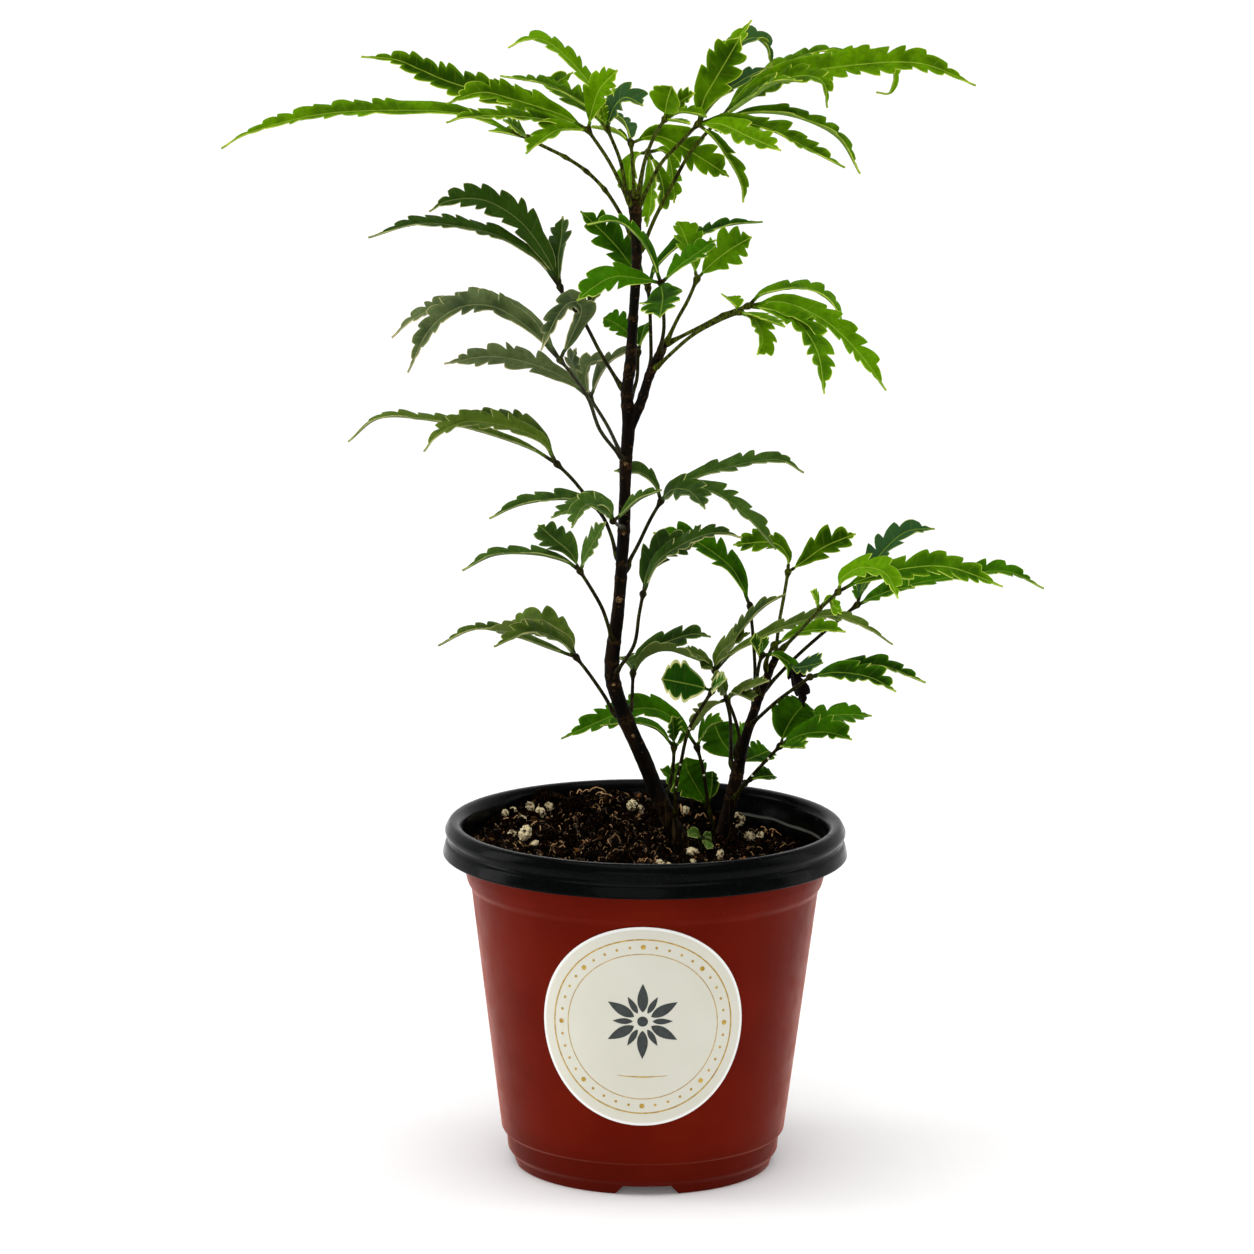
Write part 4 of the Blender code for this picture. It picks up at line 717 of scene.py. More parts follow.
def finish_named(name, roughness, **sockets):
    """Material of this name with constants set on its shader. Returns it, its tree, and the place on
    the piece, which its patterns follow."""
    made = bpy.data.materials.new(name)
    made.use_nodes = True
    tree = made.node_tree
    shader = tree.nodes["Principled BSDF"]
    for socket, value in {"Roughness": roughness, **sockets}.items():
        shader.inputs[socket.replace("_", " ")].default_value = value
    return made, tree, add(tree, "TexCoord", out="Object")


def coated(tree, base, *coats):
    """Colour with coats over it. A coat is the output that it follows, that one's limits and the
    shares there, unless it is the share itself, and last its sRGB colour, or an output with one."""
    for value, *limits, cover in coats:
        share = add(tree, "MapRange", (value, *limits), **SOFT) if limits else value
        cover = colour(cover) if isinstance(cover, str) else cover
        base = add(tree, "Mix", {0: share, 6: base, 7: cover}, 2, **TINT)
    return base


def finished(made, base, relief=None, depth=0.0, rough=None):
    """The material with its colour, its relief, this many millimetres deep, and its roughness."""
    tree = made.node_tree
    links = {"Base Color": base, "Roughness": rough}
    if relief is not None:
        links["Normal"] = add(tree, "Bump", {"Height": relief, "Distance": depth * MM})
    for socket, output in links.items():
        if output is not None:
            tree.links.new(output, tree.nodes["Principled BSDF"].inputs[socket])
    return made


def layered(name, roughness, base, coats, relief=None, depth=0.0, **sockets):
    """Finish in plain layers. Its coats and its relief follow marks of the surface, each given by its
    name, or noises, each given by its size in mm and its detail."""
    made, tree, place = finish_named(name, roughness, **sockets)
    followed = {}
    for source in [coat[0] for coat in coats] + [relief]:
        if isinstance(source, str):
            followed[source] = add(tree, "Attribute", out="Fac", attribute_name=source)
        elif source and source not in followed:
            noise = {"Vector": place, "Scale": per_mm(source[0]), "Detail": source[1]}
            followed[source] = add(tree, "TexNoise", noise)
    base = coated(tree, colour(base), *[(followed[source], *rest) for source, *rest in coats])
    return finished(made, base, followed.get(relief), depth)


def leaf_finish(name, deep, light, under, rib, margin, margin_width=0.2, shine=0.03, green_stalk=0.45):
    """Waxy living leaf, grown with a pale margin, midrib and side veins. It gives the eye a satin
    green that lightens to the edge, thin yellow-green lines, and a dark stalk."""
    made, tree, place = finish_named(name, LEAF_ROUGHNESS, Specular_IOR_Level=shine)
    stretched = add(tree, "Mapping", {"Vector": place, "Scale": (1.0, 1.0, 0.1)})
    blotch, fine, patch, mottle, streak = [
        add(tree, "TexNoise", {"Vector": where, "Scale": per_mm(size), "Detail": detail})
        for where, size, detail in (
            (place, 7.0, 2.0), (place, 1.1, 4.0), (place, 4.5, 2.0), (place, 9.0, 2.0),
            (stretched, 0.5, 2.0))
    ]
    tone, from_edge, from_rib, side_vein, underside, on_stalk, dead, painted_sheen = [
        add(tree, "Attribute", out="Fac", attribute_name=mark)
        for mark in ("tone", "margin", "rib", "vein", "under", "stalk", "dead", "grey")
    ]
    tone = add(tree, "Math", (blotch, 1.3, tone), **TIMES_PLUS)
    phase = add(tree, "Math", (side_vein,), operation="FRACT")
    off_vein = add(tree, "Math", (phase, 0.5), operation="SUBTRACT")
    off_vein = add(tree, "Math", (off_vein,), operation="ABSOLUTE")
    vein = add(tree, "MapRange", (off_vein, 0.01, 0.07, 1.0, 0.0), **SOFT)
    edge = add(tree, "MapRange", (from_edge, 0.7 * margin_width, 1.3 * margin_width, 0.95, 0.0), **SOFT)
    broken = add(tree, "MapRange", (patch, 0.36, 0.62, 0.3, 1.0), **SOFT)
    painted_sheen, faint_vein, edge, underside = [
        add(tree, "Math", pair, **TIMES)
        for pair in ((painted_sheen, 0.85), (vein, 0.07), (edge, broken), (underside, 0.75))
    ]
    dying = add(tree, "Math", (patch, 0.5, dead), **TIMES_PLUS)
    bark = coated(
        tree, colour("#0a0603"),
        (mottle, "#241d08"),
        (streak, 0.65 - 0.4 * green_stalk, 0.75, 0.0, green_stalk, "#566414"),
    )
    base = coated(
        tree, colour(deep),
        (tone, 0.65, 1.65, light),
        (from_edge, 0.2, 1.7, 0.5, 0.0, light),
        (fine, 0.4, 0.75, 0.0, 0.35, deep),
        # Painted sheen: flagged blades are tinted grey-green all over, standing in for the white room
        # reflected in their wax.
        (painted_sheen, "#2e4e2c"),
        (faint_vein, rib),
        (from_rib, 0.09, 0.22, 0.55, 0.0, rib),
        (edge, margin),
        # Underside colour: the leaf's own paler underside, lightened further on young and lime leaves as
        # painted light shining through the blade.
        (underside, under),
        (on_stalk, 0.25, 0.8, bark),
        (dying, 0.62, 0.72, "#080302"),
    )
    rough = add(tree, "MapRange", (fine, 0.2, 0.8, LEAF_ROUGHNESS - 0.06, LEAF_ROUGHNESS + 0.14), **SOFT)
    grain = add(tree, "Math", (fine, 0.5), **TIMES)
    quilt = add(tree, "Math", (vein, -0.8, grain), **TIMES_PLUS)
    return finished(made, base, quilt, 0.14, rough)


def bark_finish():
    """Living aralia bark, near black with corky tan pores and leaf scars. It gives the eye a dull,
    slightly ridged stick with pale strips near the soil."""
    made, tree, place = finish_named("aralia_bark", 0.62, Specular_IOR_Level=0.04)
    along, long_way, strip_place, squat = [
        add(tree, "Mapping", {"Vector": place, "Scale": (1.0, 1.0, height)})
        for height in (0.22, 0.3, 0.05, 1.8)
    ]
    ridges, patch, rubbed, strips, broken = [
        add(tree, "TexNoise", {"Vector": where, "Scale": per_mm(size), "Detail": detail})
        for where, size, detail in (
            (along, 1.6, 4.0), (place, 3.0, 3.0), (long_way, 4.5, 2.0), (strip_place, 0.8, 2.0),
            (place, 0.9, 3.0))
    ]
    young, low, scar = [
        add(tree, "Attribute", out="Fac", attribute_name=mark) for mark in ("young", "low", "scar")
    ]
    pores = add(tree, "TexVoronoi", {"Vector": squat, "Scale": per_mm(2.9)})
    pore, strip, cork = [
        add(tree, "MapRange", limits, **SOFT)
        for limits in ((pores, 0.08, 0.16, 1.0, 0.0), (strips, 0.54, 0.66, 0.0, 0.6),
                       (broken, 0.42, 0.66, 0.0, 0.5))
    ]
    green = add(tree, "Math", (young, patch), **TIMES)
    green, strip, dot, cork = [
        add(tree, "Math", pair, **TIMES)
        for pair in ((green, 0.45), (strip, low), (pore, 0.6), (scar, cork))
    ]
    base = coated(
        tree, colour("#030201"),
        (ridges, 0.35, 0.75, "#120a04"),
        (rubbed, 0.52, 0.72, 0.0, 0.7, "#281808"),
        (green, "#1c2008"),
        (strip, "#5a4628"),
        (dot, "#54391c"),
        (cork, "#4e3519"),
    )
    relief = add(tree, "Math", (pore, 0.5, ridges), **TIMES_PLUS)
    return finished(made, base, relief, 0.35)


def cork_finish():
    """Cork over an old leaf scar. It gives the eye a small rough tan oval."""
    cells = (0.5, 4.0)
    return layered("scar_cork", 0.8, "#2e1c0c", [(cells, 0.35, 0.65, "#8a6e48")], cells, 0.2,
                   Specular_IOR_Level=0.1)


def sap_finish():
    """Dried sap bead. It gives the eye a tiny glassy white dot, cloudy inside."""
    cloud = (0.4, 2.0)
    return layered("dried_sap", 0.2, "#c8c090", [(cloud, "#fbfaf0")], Specular_IOR_Level=0.5)


def pot_finish():
    """Polypropylene sheet, thermoformed. It gives the eye an even brick red with a soft sheen, a
    little darker at the foot, with faint scuffs."""
    made, tree, place = finish_named(
        "thermoformed_red_polypropylene", 0.36, Specular_IOR_Level=0.03, Sheen_Weight=0.5,
        Sheen_Roughness=0.3, Sheen_Tint=colour("#ff9c80"))
    height = add(tree, "SeparateXYZ", (place,), "Z")
    cloud, scuffs, flow, orange_peel = [
        add(tree, "TexNoise", {"Vector": place, "Scale": per_mm(size), "Detail": detail})
        for size, detail in ((22.0, 2.0), (0.6, 3.0), (5.0, 5.0), (0.9, 2.0))
    ]
    base = coated(
        tree, colour("#5c0d00"),
        (cloud, 0.3, 0.7, "#671201"),
        (height, 2.0 * MM, 16.0 * MM, 0.5, 0.0, "#460b03"),
        (scuffs, 0.66, 0.8, 0.0, 0.4, "#8a3c2a"),
    )
    rough = add(tree, "MapRange", (flow, 0.3, 0.75, 0.3, 0.46), **SOFT)
    return finished(made, base, orange_peel, 0.02, rough)


def lining_finish():
    """Black polypropylene, thermoformed. It gives the eye a near-black satin rim, a little dusty, with
    a pale line inside on the right, where water stood."""
    made, tree, place = finish_named("thermoformed_black_polypropylene", 0.2, Specular_IOR_Level=0.04)
    height = add(tree, "SeparateXYZ", (place,), "Z")
    across = add(tree, "SeparateXYZ", (place,), "X")
    flat = add(tree, "Mapping", {"Vector": place, "Scale": (1.0, 1.0, 0.0)})
    radius = add(tree, "VectorMath", (flat,), "Value", operation="LENGTH")
    dust, slosh, flow, orange_peel = [
        add(tree, "TexNoise", {"Vector": place, "Scale": per_mm(size), "Detail": detail})
        for size, detail in ((1.2, 5.0), (14.0, 1.0), (4.0, 5.0), (0.8, 2.0))
    ]
    level = add(tree, "Math", (slosh, 2.4 * MM, height), **TIMES_PLUS)
    water_line, *others = [
        add(tree, "MapRange", (value, low * MM, high * MM, least, most), **SOFT)
        for value, low, high, least, most in (
            (level, 80.6, 80.9, 0.0, 1.0), (level, 81.1, 81.6, 1.0, 0.0),
            (radius, 45.2, 45.4, 1.0, 0.0), (across, 16.0, 26.0, 0.0, 0.5))
    ]
    for share in others:
        water_line = add(tree, "Math", (water_line, share), **TIMES)
    base = coated(
        tree, colour("#030404"),
        (dust, 0.55, 0.8, 0.0, 0.3, "#121615"),
        (water_line, "#8c8c84"),
    )
    rough = add(tree, "MapRange", (flow, 0.3, 0.75, 0.14, 0.28), **SOFT)
    return finished(made, base, orange_peel, 0.02, rough)


def soil_finish(name, dark, light, fleck, flecks=0.6):
    """Peat and coir mix, milled and damp. It gives the eye near-black crumbs with brown bits."""
    clump, bits, crumble = (1.5, 5.0), (0.4, 3.0), (0.6, 6.0)
    coats = [
        (clump, 0.42, 0.74, light),
        (bits, 0.62, 0.72, 0.0, flecks, fleck),
        ("tone", 0.4, 1.0, 0.0, 0.9, fleck),
    ]
    return layered(name, 0.93, dark, coats, crumble, 0.7, Specular_IOR_Level=0.02)


def fibre_finish():
    """Coir, retted and combed from coconut husk. It gives the eye thin tan to dark brown hairs."""
    stain = (0.9, 3.0)
    coats = [("tone", "#f4bc7c"), (stain, 0.4, 0.75, 0.0, 0.4, "#3a2210")]
    return layered("retted_coir", 0.5, "#1c0c04", coats, stain, 0.05, Specular_IOR_Level=0.3)


def stone_finish():
    """Perlite, popped by heat. It gives the eye a cream, pitted, chalky lump, dark in its pits."""
    pits = (0.9, 4.0)
    coats = [(pits, 0.38, 0.54, "#ffecbc"), ("tone", "#6a4c2a")]
    return layered("popped_perlite", 0.85, "#22140a", coats, pits, 0.5, Specular_IOR_Level=0.3)


def paper_finish():
    """Label paper, coated and die cut. It gives the eye a smooth warm white with a whiter cut edge."""
    cloud, grain = (16.0, 2.0), (0.4, 3.0)
    coats = [(cloud, "#dbd9cc"), ("reach", STICKER_RADIUS - 0.9, STICKER_RADIUS - 0.4, "#f2f2ee")]
    return layered("coated_label_paper", 0.42, "#d0cebd", coats, grain, 0.006, Specular_IOR_Level=0.4)


def ink_finish(name, dark, light, gloss, metallic):
    """Printed ink. It gives the eye a flat mark, and a soft metal gleam where it is gold."""
    lay = (1.2, 3.0)
    return layered(name, gloss, dark, [(lay, 0.3, 0.7, light)], lay, 0.004, Metallic=metallic)


def studio_finish():
    """Paper backdrop, matt. It gives the eye an almost even white that falls off softly."""
    cloud = (60.0, 3.0)
    return layered("matt_studio_paper", 0.9, "#f6f6f6", [(cloud, "#f9f9f9")], Specular_IOR_Level=0.1,
                   Emission_Color=(1.0, 1.0, 1.0, 1.0), Emission_Strength=0.06)


# Pot

def shifted(corner, out, up=0.0):
    """Corner of a profile moved out and up."""
    return (corner[0] + out, corner[1] + up)


def box_cutter(centre, size, flare):
    """Upright box as a closed grid of two rows. Each side leans out by the flare from its top to its
    middle, and as much again to its bottom."""
    x, y, z = np.array(size) / 2
    ring = np.array([[x, -y], [x, y], [-x, y], [-x, -y]])
    rows = [np.column_stack([ring + np.sign(ring) * wider, np.full(4, height)])
            for height, wider in ((-z, 2 * flare), (z, 0.0))]
    return closed_grid(np.array(rows) + centre)


def drilled(made, shells):
    """Cuts the shells out of the piece with one Boolean, applied."""
    cutter = piece("cutter", joined(shells), made.data.materials[0])
    modifier = made.modifiers.new("holes", "BOOLEAN")
    modifier.operation = "DIFFERENCE"
    modifier.object = cutter
    bpy.context.view_layer.update()
    graph = bpy.context.evaluated_depsgraph_get()
    cut = bpy.data.meshes.new_from_object(made.evaluated_get(graph))
    made.modifiers.clear()
    made.data = cut
    cut.name = made.name
    bpy.data.objects.remove(cutter)


def outer_profile():
    """Outer sheet: from its recess out round the foot, up the wall to the rim, and back inside."""
    wall = [(FOOT_RADIUS, 0.0), FOOT_LEDGE, FOOT_TOP, STEP_BOTTOM, STEP_TOP, TAPER_TOP,
            shifted(TAPER_TOP, 0.9, 1.4), COLLAR, (COLLAR[0] + 0.5, SKIRT_BOTTOM)]
    foot = [(POLE, FOOT_RECESS), (FOOT_RING_INSIDE, FOOT_RECESS), (FOOT_RING_INSIDE + 0.4, 0.0)]
    wall_top = [(COLLAR[0] + 1.0, RIM_TOP - 4.5), (COLLAR[0] + 0.3, RIM_TOP - 4.5)]
    back = [shifted(corner, -SHEET, 0.25) for corner in wall[:0:-1]]
    return [*foot, *wall, *wall_top, *back, (FOOT_RING_INSIDE, FOOT_RECESS + SHEET),
            (POLE, FOOT_RECESS + SHEET)]


def lining_profile():
    """Lining: inside the sheet from the floor up, out under the rim, down and up the skirt, over the
    rolled rim, and down the inside to the floor."""
    skirt_inside = SKIRT_RADIUS - SKIRT_THICKNESS
    under = SHEET + 0.05
    return [
        (POLE, FOOT_RECESS + under),
        (FOOT_RING_INSIDE + 1.0, FOOT_RECESS + under),
        shifted(STEP_BOTTOM, -under - 0.2),
        shifted(STEP_TOP, -under, 0.3),
        shifted(TAPER_TOP, -under, 0.4),
        shifted(COLLAR, -under, 0.3),
        (COLLAR[0] - 0.15, SKIRT_BOTTOM),
        (RIM_INSIDE + WALL - 0.5, RIM_TOP - 2.6),
        (skirt_inside - 0.3, RIM_TOP - 2.6),
        (skirt_inside, SKIRT_BOTTOM),
        (SKIRT_RADIUS, SKIRT_BOTTOM),
        (SKIRT_RADIUS - SKIRT_FLARE, RIM_GROOVE[1] - 0.7),
        RIM_GROOVE,
        RIM_ROLL,
        (RIM_ROLL[0] - 1.3, RIM_TOP - 0.1),
        (RIM_INSIDE + 1.3, RIM_TOP - 0.2),
        (RIM_INSIDE, RIM_TOP - 1.6),
        shifted(COLLAR, -WALL, 1.0),
        shifted(TAPER_TOP, -WALL, 0.6),
        shifted(STEP_TOP, -WALL, 0.5),
        shifted(STEP_BOTTOM, -WALL),
        (STEP_BOTTOM[0] - WALL - 1.2, FLOOR_TOP),
        (POLE, FLOOR_TOP),
    ]


def make_pot():
    """Outer sheet and lining, each a profile turned about the axis, with foot notches and drains."""
    red = piece("pot_outer_sheet", turned(rounded(outer_profile(), SHEET_CORNER), POT_SIDES),
                pot_finish(), ["pot"], sharp=50.0)
    lining = piece("pot_lining_and_rim", turned(rounded(lining_profile(), LINING_CORNER), POT_SIDES),
                   lining_finish(), ["pot"], sharp=50.0)
    middle = (FOOT_RING_INSIDE + FOOT_RADIUS) / 2
    quarter = np.arange(4) * math.pi / 2
    notches = []
    for k, a in enumerate(quarter + NOTCH_TURN):
        size = (NOTCH_REACH, NOTCH_WIDTH) if k % 2 == 0 else (NOTCH_WIDTH, NOTCH_REACH)
        centre = (middle * math.cos(a), middle * math.sin(a), 0.0)
        notches.append(box_cutter(centre, (*size, 2 * NOTCH_HEIGHT), NOTCH_FLARE))
    ways = np.stack([DRAIN_CIRCLE * np.cos(quarter), DRAIN_CIRCLE * np.sin(quarter)], axis=1)
    paths = np.array([[(x, y, z) for z in DRAIN_HEIGHTS] for x, y in ways])
    drains = tube(paths, np.full((4, 3), DRAIN_RADIUS), 20, (1.0, 0.0, 0.0))
    drilled(red, [*notches, drains])
    drilled(lining, [drains])


# Sticker

def wall_radius(height):
    """Outside radius of the tapered wall."""
    low, high = STEP_TOP, TAPER_TOP
    return low[0] + (height - low[1]) * (high[0] - low[0]) / (high[1] - low[1])


def on_wall(flat):
    """Wraps points from the sticker's own plane, across, up and out, onto the tapered wall."""
    height = STICKER_HEIGHT + flat[..., 1]
    turn = (STICKER_AT_X + flat[..., 0]) / wall_radius(height)
    radius = wall_radius(height) + flat[..., 2]
    return np.stack([radius * np.sin(turn), -radius * np.cos(turn), height], axis=-1)


def disc(centre, radius, low, high, sides, rings):
    """Round patch: rows run out under it, up its edge and back in over it."""
    reach = np.concatenate([np.linspace(0.03, 1.0, rings), np.linspace(1.0, 0.03, rings)]) * radius
    lift = np.repeat([low, high], rings)
    angles = turns_of(sides)
    x, y = [middle + reach[:, None] * way(angles) for middle, way in zip(centre, (np.cos, np.sin))]
    flat = np.stack([x, y, lift[:, None] + 0 * angles], axis=-1)
    return closed_grid(on_wall(flat), reach=reach[:, None])


def strip(path, half_widths):
    """Printed line: a flat box section carried along a path in the sticker's plane."""
    path = np.asarray(path, float)
    along = unit(np.gradient(path, axis=0))
    aside = np.stack([-along[:, 1], along[:, 0]], axis=1) * np.asarray(half_widths)[:, None]
    sign = np.array([1.0, 1.0, -1.0, -1.0])[None, :, None]
    plane = path[:, None, :] + aside[:, None, :] * sign
    lift = np.array([INK_UNDER, INK_TOP, INK_TOP, INK_UNDER])[None, :, None]
    lift = np.broadcast_to(lift, (*plane.shape[:2], 1))
    return closed_grid(on_wall(np.concatenate([plane, lift], axis=-1)), reach=0.0)


def ring_line(radius, half_width):
    """Printed ring about the sticker's middle."""
    angles = np.linspace(0.0, 2 * math.pi, 145)
    return strip(radius * np.stack([np.cos(angles), np.sin(angles)], axis=1), np.full(145, half_width))


def printed_petal(angle, end, width):
    """Printed petal: a lens along a straight line out from the flower's middle."""
    s = np.linspace(0.0, 1.0, 25)
    half = np.maximum(width / 2 * np.sin(math.pi * s**0.8)**0.9, 0.06)
    path = (PETAL_START + (end - PETAL_START) * s[:, None]) * np.array([math.cos(angle), math.sin(angle)])
    return strip(path + FLOWER_MIDDLE, half)


def make_sticker():
    """Round label with a plain print: gold rings and dots round a dark open flower."""
    paper = disc((0.0, 0.0), STICKER_RADIUS, PAPER_UNDER, PAPER_TOP, sides=128, rings=26)
    piece("sticker_label", paper, paper_finish(), ["sticker"], sharp=50.0)
    dots = [disc((DOT_CIRCLE * math.cos(a), DOT_CIRCLE * math.sin(a)), DOT_RADII[k % 5 == 0],
                 INK_UNDER, INK_TOP, sides=12, rings=2) for k, a in enumerate(turns_of(DOTS))]
    line_x = np.linspace(-LINE_REACH, LINE_REACH, 25)
    line = strip(np.stack([line_x, -LINE_DOWN + 0.3 * (line_x / LINE_REACH)**2], axis=1),
                 LINE_HALF_WIDTH - 0.13 * np.abs(line_x) / LINE_REACH)
    gold = joined([*[ring_line(*ring) for ring in GOLD_RINGS], *dots, line])
    piece("sticker_gold_print", gold, ink_finish("gold_ink", "#a07d24", "#c9a84e", 0.35, 0.6))
    turns = np.arange(12) * math.pi / 6 + math.pi / 2
    flower = [printed_petal(a, *PETALS[k % 2]) for k, a in enumerate(turns)]
    flower.append(disc(FLOWER_MIDDLE, FLOWER_BUTTON, INK_UNDER, INK_TOP, sides=24, rings=2))
    piece("sticker_flower_print", joined(flower),
          ink_finish("charcoal_ink", "#1c2422", "#2a3230", 0.5, 0.0))


# Soil

def soil_top(x, y):
    """Height of the soil's surface: the low lumps, a bell-shaped mound, and sizes of roughness."""
    rng = np.random.default_rng(3)
    off = ((x - MOUND[0]) / MOUND_REACH[0])**2 + ((y - MOUND[1]) / MOUND_REACH[1])**2
    height = soil_height(x, y) + MOUND_HEIGHT * np.exp(-off)
    for size, rise in ROUGHNESS:
        height = height + waves(x, y, rng, size, rise)
    return height


def lying(points):
    """Places on the soil's surface that the picture points show, kept inside the lining."""
    rays = np.array([ray(point) for point in points])
    level = np.full(len(rays), SOIL_LEVEL)
    for _ in range(6):
        places = EYE + rays * ((level - EYE[2]) / rays[:, 2])[:, None]
        off_axis = np.hypot(places[:, 0], places[:, 1])
        places[:, :2] *= np.minimum(1.0, (SOIL_RADIUS - 1.5) / off_axis)[:, None]
        level = 0.5 * (level + soil_top(places[:, 0], places[:, 1]))
    places[:, 2] = soil_top(places[:, 0], places[:, 1])
    return places


def scattered(rng, count, edge):
    """Random places spread evenly over a disc of that radius."""
    radius = edge * np.sqrt(rng.random(count))
    angle = rng.uniform(0, 2 * math.pi, count)
    return radius * np.cos(angle), radius * np.sin(angle)


def fibres(rng, count, lengths, curl, arch, thickness, points):
    """Hairs that lie on the soil, more of them on the left: each turns evenly along its length, with a
    little random wander, rises in half a sine wave, and tapers to half its radius."""
    x, y = scattered(rng, count, SOIL_RADIUS - 2.0)
    keep = rng.random(count) < 0.4 + 0.6 * (x < 6.0)
    x, y = x[keep], y[keep]
    count = len(x)
    length = rng.uniform(*lengths, count)
    t = np.linspace(0.0, 1.0, points)
    heading = rng.uniform(0, 2 * math.pi, count)[:, None] + rng.normal(0.0, curl, count)[:, None] * t
    heading += rng.normal(0.0, 0.3, (count, points))
    step = length[:, None] / points
    px = x[:, None] + np.cumsum(np.cos(heading) * step, axis=1)
    py = y[:, None] + np.cumsum(np.sin(heading) * step, axis=1)
    inside = np.hypot(px, py).max(axis=1) < SOIL_RADIUS - 0.6
    px, py = px[inside], py[inside]
    count = len(px)
    rise = rng.uniform(*arch, count)[:, None] * np.sin(math.pi * t)
    path = np.stack([px, py, soil_top(px, py) + 0.15 + rise], axis=-1)
    radii = rng.uniform(*thickness, count)[:, None] * (1 - 0.5 * t)
    tone = np.broadcast_to(rng.random(count)[:, None]**2.6, radii.shape)
    return tube(path, radii, 3, (0.0, 0.0, 1.0), tone=tone)


def lumps_on_soil(name, x, y, size, lift, look, rng, **form):
    """Piece of lumps whose middles lie by the lift above the soil's surface."""
    centres = np.stack([x, y, soil_top(x, y) + lift], axis=1)
    piece(name, blobs(centres, size, rng, **form), look, sharp=50.0)


def make_bed():
    """Bed: a polar grid that runs out over the floor, up the lining and back in over the surface."""
    angles = turns_of(220)
    inside = -WALL - 0.1
    wall = rounded([(STEP_BOTTOM[0] + inside - 1.2, FLOOR_TOP + 0.1), shifted(STEP_BOTTOM, inside),
                    shifted(STEP_TOP, inside, 0.5), shifted(TAPER_TOP, inside, 0.6),
                    (SOIL_RADIUS - 0.4, SOIL_LEVEL - 2.5)], LINING_CORNER)
    reach = np.linspace(SOIL_RADIUS, SMALLEST_REACH, 120)
    radius = np.concatenate([[SMALLEST_REACH], wall[:, 0], reach])[:, None]
    x, y = radius * np.cos(angles), radius * np.sin(angles)
    low = np.concatenate([[FLOOR_TOP + 0.1], wall[:, 1]])[:, None] + 0 * angles
    top = len(low)
    z = np.concatenate([low, soil_top(x[top:], y[top:])])
    bed = closed_grid(np.stack([x, y, z], axis=-1), tone=0.0)
    piece("soil_bed", bed, soil_finish("peat_and_coir_mix", "#010100", "#160a04", "#4a2c12", 0.4),
          ["soil"], sharp=60.0)


def make_crumbs(rng):
    """Crumbs, clods and flat chips of husk, scattered over the bed. A few clods have their places."""
    look = soil_finish("peat_crumb", "#030100", "#1c0e07", "#966434")
    size = 0.35 + 1.2 * rng.random(CRUMBS)**5
    x, y = scattered(rng, CRUMBS, SOIL_RADIUS - 1.2)
    lumps_on_soil("soil_crumbs", x, y, size, 0.3 * size, look, rng, rows=5, columns=7,
                  lumpiness=0.34, flatness=0.5, tone=rng.random(CRUMBS)**12)

    placed = lying(SOIL_CLODS)
    x, y = scattered(rng, SCATTERED_CLODS, SOIL_RADIUS - 3.5)
    x, y = np.append(placed[:, 0], x), np.append(placed[:, 1], y)
    size = np.append(rng.uniform(2.2, 3.0, len(placed)), rng.uniform(1.1, 2.2, SCATTERED_CLODS))
    lumps_on_soil("soil_clods", x, y, size, 0.25 * size, look, rng, rows=12, columns=16,
                  lumpiness=0.14, flatness=0.3, tone=0.0 * x)

    look = soil_finish("milled_husk_chip", "#0a0502", "#2c180a", "#8a6438")
    x, y = scattered(rng, HUSK_CHIPS, SOIL_RADIUS - 2.0)
    size = rng.uniform(0.5, 1.3, HUSK_CHIPS)
    lumps_on_soil("husk_chips", x, y, size, 0.35, look, rng, rows=6, columns=8,
                  lumpiness=0.18, flatness=0.85, tone=0.3 + 0.5 * rng.random(HUSK_CHIPS)**3)


def make_fibres(rng):
    """Coir: short curled hairs, some longer ones, and the long ones that have their places. Those
    rise in half a sine wave between their ends and waver sideways in a sine."""
    hairs = [
        fibres(rng, 1900, (0.9, 2.8), curl=3.6, arch=(0.1, 0.7), thickness=(0.08, 0.15), points=7),
        fibres(rng, 70, (3.5, 6.5), curl=2.4, arch=(0.3, 1.1), thickness=(0.08, 0.14), points=14),
    ]
    t = np.linspace(0.0, 1.0, 12)
    for first, last, lift in LONG_FIBRES:
        start, end = lying([first, last])
        path = start + (end - start) * t[:, None]
        path[:, 2] = soil_top(path[:, 0], path[:, 1]) + 0.2 + lift * np.sin(math.pi * t)
        path[:, 1] += 0.7 * np.sin(4.2 * math.pi * t)
        path[:, 2] += 0.25 * np.sin(9.0 * t)
        hairs.append(tube(path, 0.17 * (1 - 0.5 * t), 6, (0.0, 0.0, 1.0), tone=0.8 + 0 * t))
    piece("coir_fibres", joined(hairs), fibre_finish(), sharp=60.0)


def make_perlite(rng):
    """Perlite lumps, and a husk beside them: a strip curled in a spiral that closes inwards."""
    look = stone_finish()
    x, y, _ = lying([point for point, _ in PERLITE]).T
    size = np.array([size for _, size in PERLITE])
    lumps_on_soil("perlite_lumps", x, y, size, 0.45 * size, look, rng, rows=14, columns=20,
                  lumpiness=0.23, flatness=0.5, tone=rng.random(len(PERLITE)) * 0.35)

    turn = np.linspace(0.0, 2.7 * math.pi, 40)
    coil = 1.9 - 0.28 * turn / math.pi
    middle = lying([CURLED_HUSK])[0] + [0.0, 0.0, 1.5]
    path = middle + np.stack([coil * np.cos(turn), -0.1 * turn, coil * np.sin(turn)], axis=1)
    thickness = 0.5 * np.sin(math.pi * (0.06 + 0.88 * turn / turn[-1]))**0.4
    husk = tube(path, thickness, 8, (0.0, 1.0, 0.0), tone=0.25 + 0 * turn)
    piece("curled_husk", husk, look, sharp=50.0)


def make_soil():
    """Potting soil, with what lies on it."""
    rng = np.random.default_rng(11)
    make_bed()
    make_crumbs(rng)
    make_fibres(rng)
    make_perlite(rng)


# Stems

